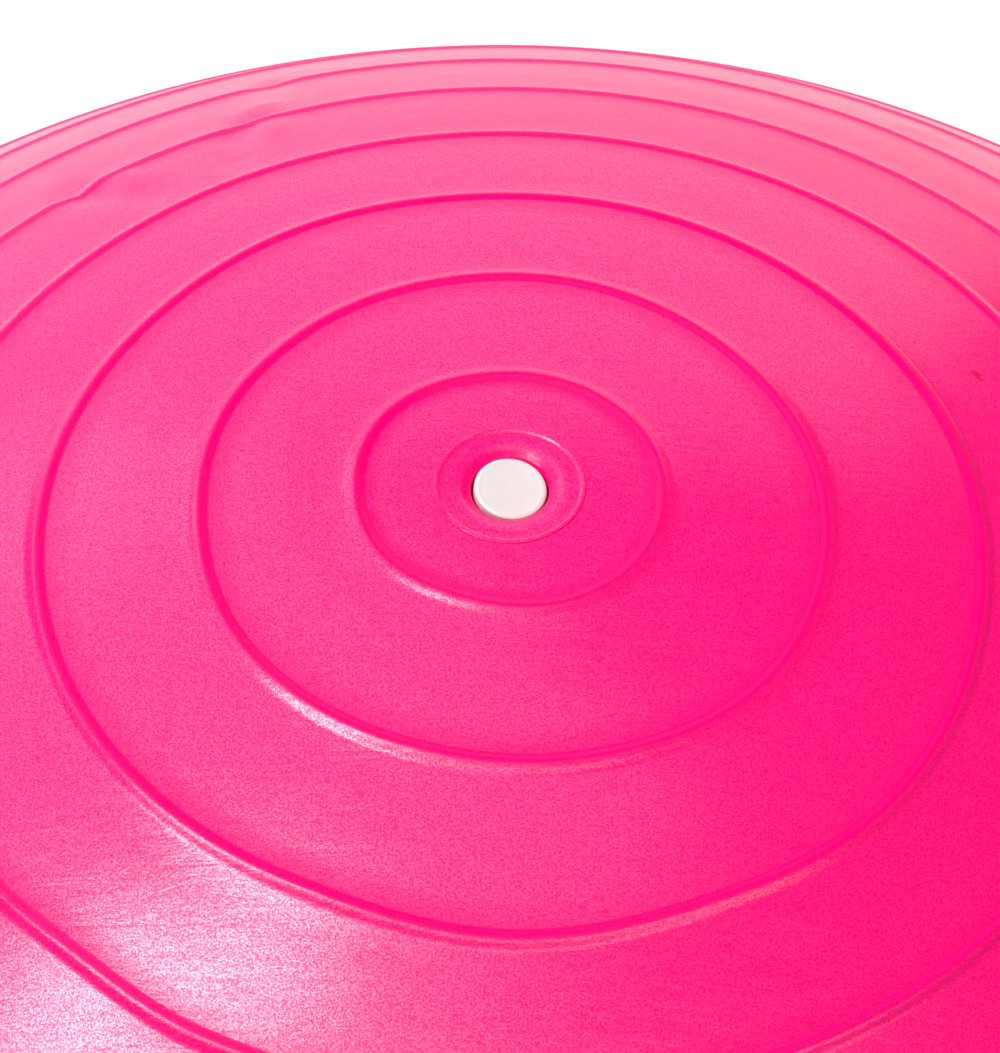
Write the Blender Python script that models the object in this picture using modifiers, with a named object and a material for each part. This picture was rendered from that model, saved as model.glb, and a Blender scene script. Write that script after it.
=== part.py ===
"""Balance dome trainer: an inflatable ribbed dome clamped onto a round two-shell platform.

Metres, +Z up. The origin is the middle of the circle of feet, on the floor.
The dome and the platform turn about Z, the hand grips lie on X and the band rings on Y.
Run with: blender --background --python part.py
"""

import math

import bmesh
import bpy
from mathutils import Matrix, Vector

MM = 0.001
GAP = 0.3 * MM  # left between two pieces that touch
OVERLAP = 2 * MM  # how far a cutter or a joined shape runs past the face it meets
FACETS = 36  # sides of the large turned pieces
SMALL_FACETS = 12  # sides of feet, posts and holes
SCREW_FACETS = 8

# Platform, from the floor up
FOOT_STANDOFF = 4 * MM  # the feet hold the shell this far off the floor
PLATFORM_RADIUS = 305 * MM
WALL = 3 * MM  # outer walls of both shells
PAN_FLOOR = 3.5 * MM
PARTING_Z = 30 * MM  # where the two shells meet
DECK_TOP = 44 * MM
DECK_PLATE = 3.5 * MM
RIM_DEPTH = 7 * MM  # thickness of the deck under the clamp ring
PAN_EDGE_RADIUS = 8 * MM

# Inflated dome
DOME_RADIUS = 295 * MM  # radius of the sphere that the dome is part of
DOME_MOUTH_RADIUS = 278 * MM  # where the dome passes the clamp ring
MOUTH_HEIGHT = 6.5 * MM  # of that place over the deck
SKIN = 3 * MM
RIB_WIDTH = 3.2 * MM
RIB_HEIGHT = 0.8 * MM
FIRST_RIB_ARC = 27 * MM  # along the skin from the crown
RIB_PITCH = 29.3 * MM
BARE_SKIN = 30 * MM  # left without ribs above the clamp ring
BEAD_RADIUS = 3 * MM  # the round edge of the skin
BEAD_CIRCLE = 290.5 * MM

# Clamp ring and its seal
CLAMP_HEIGHT = 14 * MM  # over the deck
SEAL_RADIUS = 1.5 * MM
SEAL_CIRCLE = 284.6 * MM
CLAMP_SCREWS = 12
CLAMP_SCREW_CIRCLE = 297 * MM

# Valve at the crown
SEAT_RADIUS = 13 * MM
SEAT_FLANGE_RADIUS = 20 * MM
SEAT_FLANGE = 2.2 * MM
SEAT_NECK_RADIUS = 9 * MM
SEAT_LENGTH = 24 * MM
PLUG_HEAD_RADIUS = 6.5 * MM
PLUG_HEAD = 2.2 * MM
PLUG_SUNK = 1.2 * MM  # top of the head under the crown of the dome
PLUG_STEM_RADIUS = 3.9 * MM
PLUG_BARB = 0.4 * MM
PLUG_STEM = 22.5 * MM
BORE_CLEARANCE = 0.4 * MM

# Screws: shank radius, head radius, head height
CLAMP_SCREW = (1.7 * MM, 3.4 * MM, 2.6 * MM)
PAN_SCREW = (1.5 * MM, 4.0 * MM, 3.0 * MM)
ANCHOR_SCREW = (1.6 * MM, 3.4 * MM, 2.0 * MM)
CENTRE_BOLT = (3.7 * MM, 7.5 * MM, 4.0 * MM)
HOLE_CLEARANCE = 0.4 * MM
PAN_SCREWS = 6
PAN_SCREW_CIRCLE = 200 * MM
POST_RADIUS = 7.5 * MM
CENTRE_POST_RADIUS = 14 * MM
BOSS_HEIGHT = 9.5 * MM  # the deck's bosses, under its plate
BLIND_ROOF = 2 * MM  # left of the deck over a blind hole

# Feet, mat and cap on the underside
FEET = 6
FOOT_CIRCLE = 266 * MM
FOOT_RADIUS = 15 * MM
FOOT_SUNK = 1 * MM
FOOT_STEM_RADIUS = 4 * MM
FOOT_BARB = 0.9 * MM
MAT_INNER = 62 * MM
MAT_OUTER = 178 * MM
MAT_THICKNESS = 2.1 * MM
MAT_SUNK = 1 * MM
CAP_RADIUS = 23.7 * MM
CAP_THICKNESS = 2 * MM
CAP_SUNK = 1.5 * MM
CAP_SKIRT = 6.5 * MM

# Stiffening core between the shells
CORE_ARMS = 12
CORE_HUB_RADIUS = 24 * MM
CORE_MID_RADIUS = 150 * MM
CORE_RADIUS = 245 * MM
CORE_WEB = 3.5 * MM

# Hand grips, on X
GRIP_CIRCLE = 271 * MM
GRIP_HALF_ANGLE = math.radians(10.4)
GRIP_HALF_WIDTH = 17 * MM
GRIP_WALL = 2 * MM
GRIP_DEPTH = 24 * MM
GRIP_FLANGE = 4 * MM  # width of the pocket's rim, flush in the pan's floor

# Band rings, on Y
RING_WIRE_RADIUS = 2.5 * MM
RING_HALF_WIDTH = 15.5 * MM  # to the middle of the wire
RING_CORNER = 4 * MM
RING_STRAIGHT = 11 * MM
RING_PIN_Z = 37.5 * MM
ANCHOR_HALF_WIDTH = 27 * MM
ANCHOR_PLATE = 3.5 * MM
ANCHOR_PAD = 3 * MM  # how far the deck's flat pad stands out of its rim
BARREL_HALF_LENGTH = 9 * MM
BARREL_RADIUS = 5 * MM
BARREL_CLEARANCE = 0.5 * MM
ANCHOR_SCREW_X = 22.5 * MM
ANCHOR_SCREW_Z = 40 * MM
ANCHOR_SCREW_LENGTH = 13 * MM

# Heights and radii that follow from the ones above
FLANGE_BOTTOM = DECK_TOP + GAP
FLANGE_TOP = FLANGE_BOTTOM + SKIN
MOUTH_Z = DECK_TOP + MOUTH_HEIGHT
MOUTH_ANGLE = math.asin(DOME_MOUTH_RADIUS / DOME_RADIUS)
DOME_CENTRE_Z = MOUTH_Z - DOME_RADIUS * math.cos(MOUTH_ANGLE)
CROWN_Z = DOME_CENTRE_Z + DOME_RADIUS
RIB_COUNT = int((DOME_RADIUS * MOUTH_ANGLE - FIRST_RIB_ARC - BARE_SKIN) / RIB_PITCH) + 1
TURN_RADIUS = (MOUTH_Z - FLANGE_TOP) / (1 - math.cos(MOUTH_ANGLE))  # skin turning out to its flange
TURN_CENTRE = (
    DOME_MOUTH_RADIUS + TURN_RADIUS * math.sin(MOUTH_ANGLE),
    MOUTH_Z + TURN_RADIUS * math.cos(MOUTH_ANGLE),
)
BEAD_Z = (FLANGE_BOTTOM + FLANGE_TOP) / 2
BEAD_ROOM = BEAD_RADIUS + 1.3 * GAP
INSIDE_RADIUS = PLATFORM_RADIUS - WALL
PAN_BOTTOM = FOOT_STANDOFF
PAN_INSIDE = PAN_BOTTOM + PAN_FLOOR
DECK_UNDERSIDE = DECK_TOP - DECK_PLATE
POST_TOP = DECK_UNDERSIDE - BOSS_HEIGHT - GAP
PAD_FACE = PLATFORM_RADIUS + ANCHOR_PAD
RING_PIN_Y = PAD_FACE + GAP + ANCHOR_PLATE + RING_WIRE_RADIUS + 0.7 * MM


def make_collection(name, helper=False):
    """A collection in the scene; a helper's objects are left out of renders."""
    collection = bpy.data.collections.new(name)
    bpy.context.scene.collection.children.link(collection)
    collection.hide_render = helper
    return collection


def material(name, colour, roughness, metallic=0.0):
    """A Principled BSDF material of one colour."""
    made = bpy.data.materials.new(name)
    made.use_nodes = True
    shader = made.node_tree.nodes["Principled BSDF"]
    shader.inputs["Base Color"].default_value = (*colour, 1)
    shader.inputs["Roughness"].default_value = roughness
    shader.inputs["Metallic"].default_value = metallic
    made.diffuse_color = (*colour, 1)
    return made


def new_object(name, data, collection):
    obj = bpy.data.objects.new(name, data)
    collection.objects.link(obj)
    return obj


def realise(obj):
    """Replaces the object's data by the mesh that its modifiers or its curve make, with caps welded."""
    bpy.context.view_layer.update()
    evaluated = obj.evaluated_get(bpy.context.evaluated_depsgraph_get())
    mesh = bpy.data.meshes.new_from_object(evaluated)
    welded = bmesh.new()
    welded.from_mesh(mesh)
    bmesh.ops.remove_doubles(welded, verts=welded.verts, dist=0.01 * MM)
    welded.to_mesh(mesh)
    welded.free()
    return mesh


def as_mesh(obj):
    """The same object, in the same place, as a plain mesh with no modifiers."""
    made = bpy.data.objects.new("realised", realise(obj))
    for collection in list(obj.users_collection):
        collection.objects.link(made)
    made.matrix_world = obj.matrix_world.copy()
    name = obj.name
    bpy.data.objects.remove(obj)
    made.name = name
    return made


def turned(name, profile, collection, facets=FACETS, closed=True):
    """A profile of (radius, height) points turned about Z. Its outer side runs top to bottom."""
    mesh = bpy.data.meshes.new(name)
    count = len(profile)
    edges = [(i, (i + 1) % count) for i in range(count if closed else count - 1)]
    mesh.from_pydata([(r, 0, z) for r, z in profile], edges, [])
    obj = new_object(name, mesh, collection)
    screw = obj.modifiers.new("Turn", "SCREW")
    screw.steps = facets
    screw.render_steps = facets
    screw.use_merge_vertices = True
    screw.merge_threshold = 0.01 * MM
    return as_mesh(obj)


def arc(centre, radius, start, end, steps):
    """Points of an arc in the (radius, height) plane, with both ends, angles in radians from +radius."""
    angles = [start + (end - start) * i / steps for i in range(steps + 1)]
    return [(centre[0] + radius * math.cos(a), centre[1] + radius * math.sin(a)) for a in angles]


def cylinders(name, places, radius, bottom, top, collection, sides=SMALL_FACETS):
    """Upright cylinders of one radius, at each (x, y), as one object."""
    made = bmesh.new()
    for x, y in places:
        bmesh.ops.create_cone(
            made,
            cap_ends=True,
            segments=sides,
            radius1=radius,
            radius2=radius,
            depth=top - bottom,
            matrix=Matrix.Translation((x, y, (top + bottom) / 2)),
        )
    mesh = bpy.data.meshes.new(name)
    made.to_mesh(mesh)
    made.free()
    return new_object(name, mesh, collection)


def box(name, low, high, collection, turn=0.0):
    """A box between two corners, then turned about Z."""
    low, high = Vector(low), Vector(high)
    made = bmesh.new()
    placed = Matrix.Translation((low + high) / 2) @ Matrix.Diagonal((*(high - low), 1))
    bmesh.ops.create_cube(made, size=1, matrix=Matrix.Rotation(turn, 4, "Z") @ placed)
    mesh = bpy.data.meshes.new(name)
    made.to_mesh(mesh)
    made.free()
    return new_object(name, mesh, collection)


def combine(target, others, operation):
    """Joins or cuts the target with each helper in turn, and returns it as a plain mesh."""
    for other in others:
        boolean = target.modifiers.new(operation.title(), "BOOLEAN")
        boolean.operation = operation
        boolean.object = other
    return as_mesh(target)


def finish(obj, surface):
    """Gives a piece its material, and smooth shading with sharp corners."""
    obj.data.materials.clear()
    obj.data.materials.append(surface)
    obj.data.shade_smooth()
    obj.data.set_sharp_from_angle(angle=math.radians(35))
    return obj


def on_circle(count, radius, first=0.0):
    """Evenly spaced (x, y) places on a circle."""
    angles = [math.radians(first) + 2 * math.pi * i / count for i in range(count)]
    return [(radius * math.cos(a), radius * math.sin(a)) for a in angles]


def sphere_point(radius, angle):
    """A point of the dome's section, at an angle from the crown."""
    return (radius * math.sin(angle), DOME_CENTRE_Z + radius * math.cos(angle))


CLAMP_PLACES = on_circle(CLAMP_SCREWS, CLAMP_SCREW_CIRCLE, first=180 / CLAMP_SCREWS)
PAN_PLACES = on_circle(PAN_SCREWS, PAN_SCREW_CIRCLE)
FOOT_PLACES = on_circle(FEET, FOOT_CIRCLE, first=180 / FEET)


def build_dome(parts, surface):
    """The skin: ribs outside, plain inside, a hole at the crown and a round bead at its clamped edge."""
    hole = math.asin((SEAT_RADIUS + GAP) / DOME_RADIUS)
    outer = [sphere_point(DOME_RADIUS, hole)]
    for i in range(RIB_COUNT):
        middle = (FIRST_RIB_ARC + i * RIB_PITCH) / DOME_RADIUS
        half = RIB_WIDTH / 2 / DOME_RADIUS
        outer.append(sphere_point(DOME_RADIUS, middle - half))
        outer.append(sphere_point(DOME_RADIUS + RIB_HEIGHT, middle))
        outer.append(sphere_point(DOME_RADIUS, middle + half))
    outer.append(sphere_point(DOME_RADIUS, (middle + half + MOUTH_ANGLE) / 2))
    turn_start = 1.5 * math.pi - MOUTH_ANGLE
    outer += arc(TURN_CENTRE, TURN_RADIUS, turn_start, 1.5 * math.pi, 3)
    bead = arc((BEAD_CIRCLE, BEAD_Z), BEAD_RADIUS, math.radians(150), math.radians(-150), 5)
    inner = arc(TURN_CENTRE, TURN_RADIUS + SKIN, 1.5 * math.pi, turn_start, 3)
    inside_steps = 6
    over_flange = (SEAT_FLANGE_RADIUS + 1 * MM) / (DOME_RADIUS - SKIN)
    for i in range(1, inside_steps + 1):
        angle = MOUTH_ANGLE + (over_flange - MOUTH_ANGLE) * i / inside_steps
        inner.append(sphere_point(DOME_RADIUS - SKIN, angle))
    inner.append(sphere_point(DOME_RADIUS - SKIN, math.asin((SEAT_RADIUS + GAP) / (DOME_RADIUS - SKIN))))
    return finish(turned("dome_skin", outer + bead + inner, parts), surface)


def build_valve(parts, skin_surface, plug_surface):
    """The moulded seat in the crown, and the stopper that pulls out of it."""
    top = CROWN_Z
    under_skin = sphere_point(DOME_RADIUS - SKIN, (SEAT_FLANGE_RADIUS + 1 * MM) / DOME_RADIUS)[1] - GAP
    head_room = PLUG_HEAD_RADIUS + GAP
    head_floor = top - PLUG_SUNK - PLUG_HEAD - GAP
    bore = PLUG_STEM_RADIUS + PLUG_BARB + BORE_CLEARANCE
    neck_end = top - SEAT_LENGTH
    seat = [
        (SEAT_RADIUS, top - 0.3 * MM),
        (SEAT_RADIUS, under_skin),
        (SEAT_FLANGE_RADIUS, under_skin),
        (SEAT_FLANGE_RADIUS, under_skin - SEAT_FLANGE),
        (SEAT_NECK_RADIUS + OVERLAP, under_skin - SEAT_FLANGE),
        (SEAT_NECK_RADIUS, under_skin - SEAT_FLANGE - OVERLAP),
        (SEAT_NECK_RADIUS, neck_end),
        (bore, neck_end),
        (bore, head_floor),
        (head_room, head_floor),
        (head_room + 0.2 * MM, top - PLUG_SUNK - 0.3 * MM),
        (head_room + 1.6 * MM, top - 0.8 * MM),
    ]
    finish(turned("valve_seat", seat, parts, facets=20), skin_surface)

    head_top = top - PLUG_SUNK
    stem_top = head_top - PLUG_HEAD
    plug = [(0, head_top), (PLUG_HEAD_RADIUS - 0.7 * MM, head_top)]
    plug += [(PLUG_HEAD_RADIUS, head_top - 0.7 * MM), (PLUG_HEAD_RADIUS, stem_top)]
    plug.append((PLUG_STEM_RADIUS, stem_top))
    for i in range(2):
        barb = stem_top - (8 + 6 * i) * MM
        plug.append((PLUG_STEM_RADIUS, barb + 1.5 * MM))
        plug.append((PLUG_STEM_RADIUS + PLUG_BARB, barb))
        plug.append((PLUG_STEM_RADIUS, barb - 0.5 * MM))
    plug.append((PLUG_STEM_RADIUS, stem_top - PLUG_STEM + 2 * MM))
    plug += [(PLUG_STEM_RADIUS - 1.2 * MM, stem_top - PLUG_STEM), (0, stem_top - PLUG_STEM)]
    finish(turned("air_plug", plug, parts, facets=16, closed=False), plug_surface)


def build_clamp(parts, cutters, ring_surface, seal_surface, screw_surface):
    """The ring that holds the skin's bead down, the seal under the skin, and the ring's screws."""
    top = DECK_TOP + CLAMP_HEIGHT
    foot = DECK_TOP + GAP
    nose = arc(TURN_CENTRE, TURN_RADIUS - GAP, 1.5 * math.pi, math.pi, 3)
    crown_inner = (TURN_CENTRE[0] - TURN_RADIUS + 3 * MM, top)
    shoulder = crown_inner[0] + 8 * MM
    profile = [crown_inner, (shoulder, top)]
    for angle in (60, 35, 12):
        a = math.radians(angle)
        profile.append(
            (
                shoulder + (PLATFORM_RADIUS - shoulder) * math.cos(a),
                foot + CLAMP_HEIGHT * math.sin(a),
            )
        )
    profile += [
        (PLATFORM_RADIUS, foot),
        (BEAD_CIRCLE + BEAD_ROOM + 0.3 * MM, foot),
        (BEAD_CIRCLE + BEAD_ROOM, BEAD_Z + BEAD_ROOM),
        (BEAD_CIRCLE - BEAD_ROOM, BEAD_Z + BEAD_ROOM),
        (BEAD_CIRCLE - BEAD_ROOM, FLANGE_TOP + GAP),
    ]
    profile += nose
    profile.append((nose[-1][0] + 0.5 * MM, top - 1.5 * MM))
    ring = turned("clamp_ring", profile, parts)
    shank, head, head_height = CLAMP_SCREW
    hole_top = foot + 0.6 * CLAMP_HEIGHT
    holes = cylinders(
        "clamp_holes", CLAMP_PLACES, shank + HOLE_CLEARANCE, foot - OVERLAP, hole_top, cutters, SCREW_FACETS
    )
    finish(combine(ring, [holes], "DIFFERENCE"), ring_surface)

    seal_z = DECK_TOP - SEAL_RADIUS
    section = arc((SEAL_CIRCLE, seal_z), SEAL_RADIUS, math.pi / 2, -1.5 * math.pi, 6)[:-1]
    finish(turned("rim_seal", section, parts), seal_surface)

    head_top = DECK_TOP - RIM_DEPTH - GAP
    screw = [(0, hole_top - GAP), (shank, hole_top - GAP), (shank, head_top)]
    screw += [(head, head_top), (head, head_top - head_height), (0, head_top - head_height)]
    for i, (x, y) in enumerate(CLAMP_PLACES, 1):
        piece = turned(f"clamp_screw_{i:02d}", screw, parts, SCREW_FACETS, closed=False)
        piece.location = (x, y, 0)
        finish(piece, screw_surface)


def build_deck(parts, cutters, surface):
    """The upper shell: the floor of the air chamber, grooves for seal and bead, and the upper rim."""
    seal_room = SEAL_RADIUS + 0.2 * MM
    seal_floor = DECK_TOP - 2 * SEAL_RADIUS - GAP
    bead_floor = BEAD_Z - BEAD_ROOM
    rim_inner = DOME_MOUTH_RADIUS - 3 * MM
    profile = [
        (0, DECK_TOP),
        (SEAL_CIRCLE - seal_room, DECK_TOP),
        (SEAL_CIRCLE - seal_room, seal_floor),
        (SEAL_CIRCLE + seal_room, seal_floor),
        (SEAL_CIRCLE + seal_room, DECK_TOP),
        (BEAD_CIRCLE - BEAD_ROOM, DECK_TOP),
        (BEAD_CIRCLE - BEAD_ROOM, bead_floor),
        (BEAD_CIRCLE + BEAD_ROOM, bead_floor),
        (BEAD_CIRCLE + BEAD_ROOM, DECK_TOP),
        (PLATFORM_RADIUS, DECK_TOP),
        (PLATFORM_RADIUS, PARTING_Z + GAP),
        (INSIDE_RADIUS, PARTING_Z + GAP),
        (INSIDE_RADIUS, DECK_TOP - RIM_DEPTH),
        (rim_inner, DECK_TOP - RIM_DEPTH),
        (rim_inner - (RIM_DEPTH - DECK_PLATE), DECK_UNDERSIDE),
        (0, DECK_UNDERSIDE),
    ]
    deck = turned("platform_deck", profile, parts, closed=False)
    boss_bottom = DECK_UNDERSIDE - BOSS_HEIGHT
    boss_top = DECK_UNDERSIDE + DECK_PLATE / 2
    bosses = cylinders("deck_bosses", PAN_PLACES, POST_RADIUS - 1 * MM, boss_bottom, boss_top, cutters)
    hub = cylinders("deck_hub", [(0, 0)], CENTRE_POST_RADIUS - 1 * MM, boss_bottom, boss_top, cutters)
    pads = [
        box(
            f"anchor_pad_{i}",
            (-ANCHOR_HALF_WIDTH, INSIDE_RADIUS + GAP, PARTING_Z + 2 * GAP),
            (ANCHOR_HALF_WIDTH, PAD_FACE, DECK_TOP - GAP),
            cutters,
            turn=i * math.pi,
        )
        for i in range(2)
    ]
    deck = combine(deck, [bosses, hub, *pads], "UNION")

    blind = DECK_TOP - BLIND_ROOF
    clamp_holes = cylinders(
        "deck_clamp_holes",
        CLAMP_PLACES,
        CLAMP_SCREW[0] + HOLE_CLEARANCE,
        DECK_TOP - RIM_DEPTH - OVERLAP,
        DECK_TOP + OVERLAP,
        cutters,
        SCREW_FACETS,
    )
    pan_pilots = cylinders(
        "deck_pilots", PAN_PLACES, PAN_SCREW[0] + GAP, boss_bottom - OVERLAP, blind, cutters, SCREW_FACETS
    )
    hub_pilot = cylinders(
        "hub_pilot", [(0, 0)], CENTRE_BOLT[0] + GAP, boss_bottom - OVERLAP, blind, cutters, 12
    )
    anchor_holes = [
        anchor_hole(f"deck_anchor_hole_{side}_{i}", side, x, cutters)
        for side in (-1, 1)
        for i, x in enumerate((-ANCHOR_SCREW_X, ANCHOR_SCREW_X))
    ]
    deck = combine(deck, [clamp_holes, pan_pilots, hub_pilot, *anchor_holes], "DIFFERENCE")
    finish(deck, surface)


def lying_cylinder(name, radius, start, end, collection, sides=SCREW_FACETS):
    """A cylinder between two points."""
    start, end = Vector(start), Vector(end)
    along = end - start
    placed = Matrix.Translation((start + end) / 2) @ along.to_track_quat("Z", "Y").to_matrix().to_4x4()
    made = bmesh.new()
    bmesh.ops.create_cone(
        made,
        cap_ends=True,
        segments=sides,
        radius1=radius,
        radius2=radius,
        depth=along.length,
        matrix=placed,
    )
    mesh = bpy.data.meshes.new(name)
    made.to_mesh(mesh)
    made.free()
    return new_object(name, mesh, collection)


def anchor_hole(name, side, x, cutters):
    """The hole for one anchor screw, through the bracket and into the deck's rim."""
    depth = PAD_FACE + GAP + ANCHOR_PLATE - ANCHOR_SCREW_LENGTH - GAP
    return lying_cylinder(
        name,
        ANCHOR_SCREW[0] + HOLE_CLEARANCE,
        (x, side * depth, ANCHOR_SCREW_Z),
        (x, side * (PAD_FACE + ANCHOR_PLATE + 2 * OVERLAP), ANCHOR_SCREW_Z),
        cutters,
    )


def grip_outline(half_width, depth, bottom, name, collection):
    """A prism on a bent slot outline, round at both ends, that follows the platform's edge."""
    steps = 6
    points = []
    for i in range(steps + 1):
        a = -GRIP_HALF_ANGLE + 2 * GRIP_HALF_ANGLE * i / steps
        points.append(((GRIP_CIRCLE + half_width) * math.cos(a), (GRIP_CIRCLE + half_width) * math.sin(a)))
    for end in (1, -1):
        middle = Vector((math.cos(end * GRIP_HALF_ANGLE), math.sin(end * GRIP_HALF_ANGLE))) * GRIP_CIRCLE
        start = end * GRIP_HALF_ANGLE + (0 if end == 1 else math.pi)
        for i in range(1, steps):
            a = start + math.pi * i / steps
            points.append((middle.x + half_width * math.cos(a), middle.y + half_width * math.sin(a)))
        if end == 1:
            for i in range(steps + 1):
                a = GRIP_HALF_ANGLE - 2 * GRIP_HALF_ANGLE * i / steps
                inner = GRIP_CIRCLE - half_width
                points.append((inner * math.cos(a), inner * math.sin(a)))
    curve = bpy.data.curves.new(name, "CURVE")
    curve.dimensions = "2D"
    curve.fill_mode = "BOTH"
    curve.extrude = depth / 2
    spline = curve.splines.new("POLY")
    spline.points.add(len(points) - 1)
    for point, (x, y) in zip(spline.points, points):
        point.co = (x, y, 0, 1)
    spline.use_cyclic_u = True
    obj = new_object(name, curve, collection)
    obj.location.z = bottom + depth / 2
    return as_mesh(obj)


def build_pan(parts, cutters, surface):
    """The lower shell, with screw posts, foot holes, a recess for the mat and openings for the grips."""
    tongue_outer = INSIDE_RADIUS - GAP
    corner = PLATFORM_RADIUS - PAN_EDGE_RADIUS
    centre_hole = CENTRE_BOLT[0] + HOLE_CLEARANCE
    counterbore = CENTRE_BOLT[1] + 4 * HOLE_CLEARANCE
    counterbore_top = POST_TOP - 8 * MM
    profile = [(PLATFORM_RADIUS, PARTING_Z)]
    profile += arc((corner, PAN_BOTTOM + PAN_EDGE_RADIUS), PAN_EDGE_RADIUS, 0, -math.pi / 2, 4)
    profile += [
        (MAT_OUTER + 2 * GAP, PAN_BOTTOM),
        (MAT_OUTER + 2 * GAP, PAN_BOTTOM + MAT_SUNK),
        (MAT_INNER - 2 * GAP, PAN_BOTTOM + MAT_SUNK),
        (MAT_INNER - 2 * GAP, PAN_BOTTOM),
        (CAP_RADIUS + GAP, PAN_BOTTOM),
        (CAP_RADIUS + GAP, PAN_BOTTOM + CAP_SUNK),
        (counterbore, PAN_BOTTOM + CAP_SUNK),
        (counterbore, counterbore_top),
        (centre_hole, counterbore_top),
        (centre_hole, POST_TOP),
        (CENTRE_POST_RADIUS, POST_TOP),
        (CENTRE_POST_RADIUS, PAN_INSIDE),
    ]
    profile += arc((corner, PAN_INSIDE + 5 * MM), 5 * MM, -math.pi / 2, 0, 2)
    profile += [
        (INSIDE_RADIUS, PARTING_Z - 4 * MM),
        (tongue_outer - WALL, PARTING_Z - 2 * MM),
        (tongue_outer - WALL, PARTING_Z + 3 * MM),
        (tongue_outer, PARTING_Z + 3 * MM),
        (tongue_outer, PARTING_Z),
    ]
    pan = turned("platform_pan", profile, parts)
    posts = cylinders("pan_posts", PAN_PLACES, POST_RADIUS, PAN_INSIDE - 1 * MM, POST_TOP, cutters)
    pan = combine(pan, [posts], "UNION")

    below = PAN_BOTTOM - OVERLAP
    counterbores = cylinders(
        "pan_counterbores", PAN_PLACES, PAN_SCREW[1] + HOLE_CLEARANCE, below, POST_TOP - 7 * MM, cutters
    )
    screw_holes = cylinders(
        "pan_screw_holes", PAN_PLACES, PAN_SCREW[0] + HOLE_CLEARANCE, below, POST_TOP + OVERLAP, cutters, 8
    )
    foot_recesses = cylinders(
        "foot_recesses", FOOT_PLACES, FOOT_RADIUS + GAP, below, PAN_BOTTOM + FOOT_SUNK, cutters, 16
    )
    foot_holes = cylinders(
        "foot_holes", FOOT_PLACES, FOOT_STEM_RADIUS + GAP, below, PAN_INSIDE + OVERLAP, cutters, 12
    )
    grips = []
    for name, turn in (("grip_cut_right", 0.0), ("grip_cut_left", math.pi)):
        cut = grip_outline(
            GRIP_HALF_WIDTH + GRIP_FLANGE + GAP, PAN_FLOOR + 2 * OVERLAP, below, name, cutters
        )
        cut.rotation_euler.z = turn
        grips.append(cut)
    holes = [counterbores, screw_holes, foot_recesses, foot_holes, *grips]
    finish(combine(pan, holes, "DIFFERENCE"), surface)


def build_core(parts, cutters, surface):
    """The ribbed core that carries the deck on the pan's floor."""
    bottom, top = PAN_INSIDE + GAP, DECK_UNDERSIDE - GAP

    def hoop(name, outer, collection, facets):
        inner = outer - CORE_WEB
        return turned(
            name, [(outer, top), (outer, bottom), (inner, bottom), (inner, top)], collection, facets
        )

    core = hoop("stiffening_core", CORE_RADIUS, parts, 36)
    hoops = [
        hoop("core_mid", CORE_MID_RADIUS, cutters, 24),
        hoop("core_hub", CORE_HUB_RADIUS, cutters, 24),
    ]
    arms = []
    for i in range(CORE_ARMS):
        turn = 2 * math.pi * (i + 0.5) / CORE_ARMS
        low = (CORE_HUB_RADIUS - CORE_WEB / 2, -CORE_WEB / 2, bottom + 0.4 * MM)
        high = (CORE_RADIUS - CORE_WEB / 2, CORE_WEB / 2, top - 0.4 * MM)
        arms.append(box(f"core_arm_{i:02d}", low, high, cutters, turn=turn))
    finish(combine(core, [*arms, *hoops], "UNION"), surface)


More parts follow.
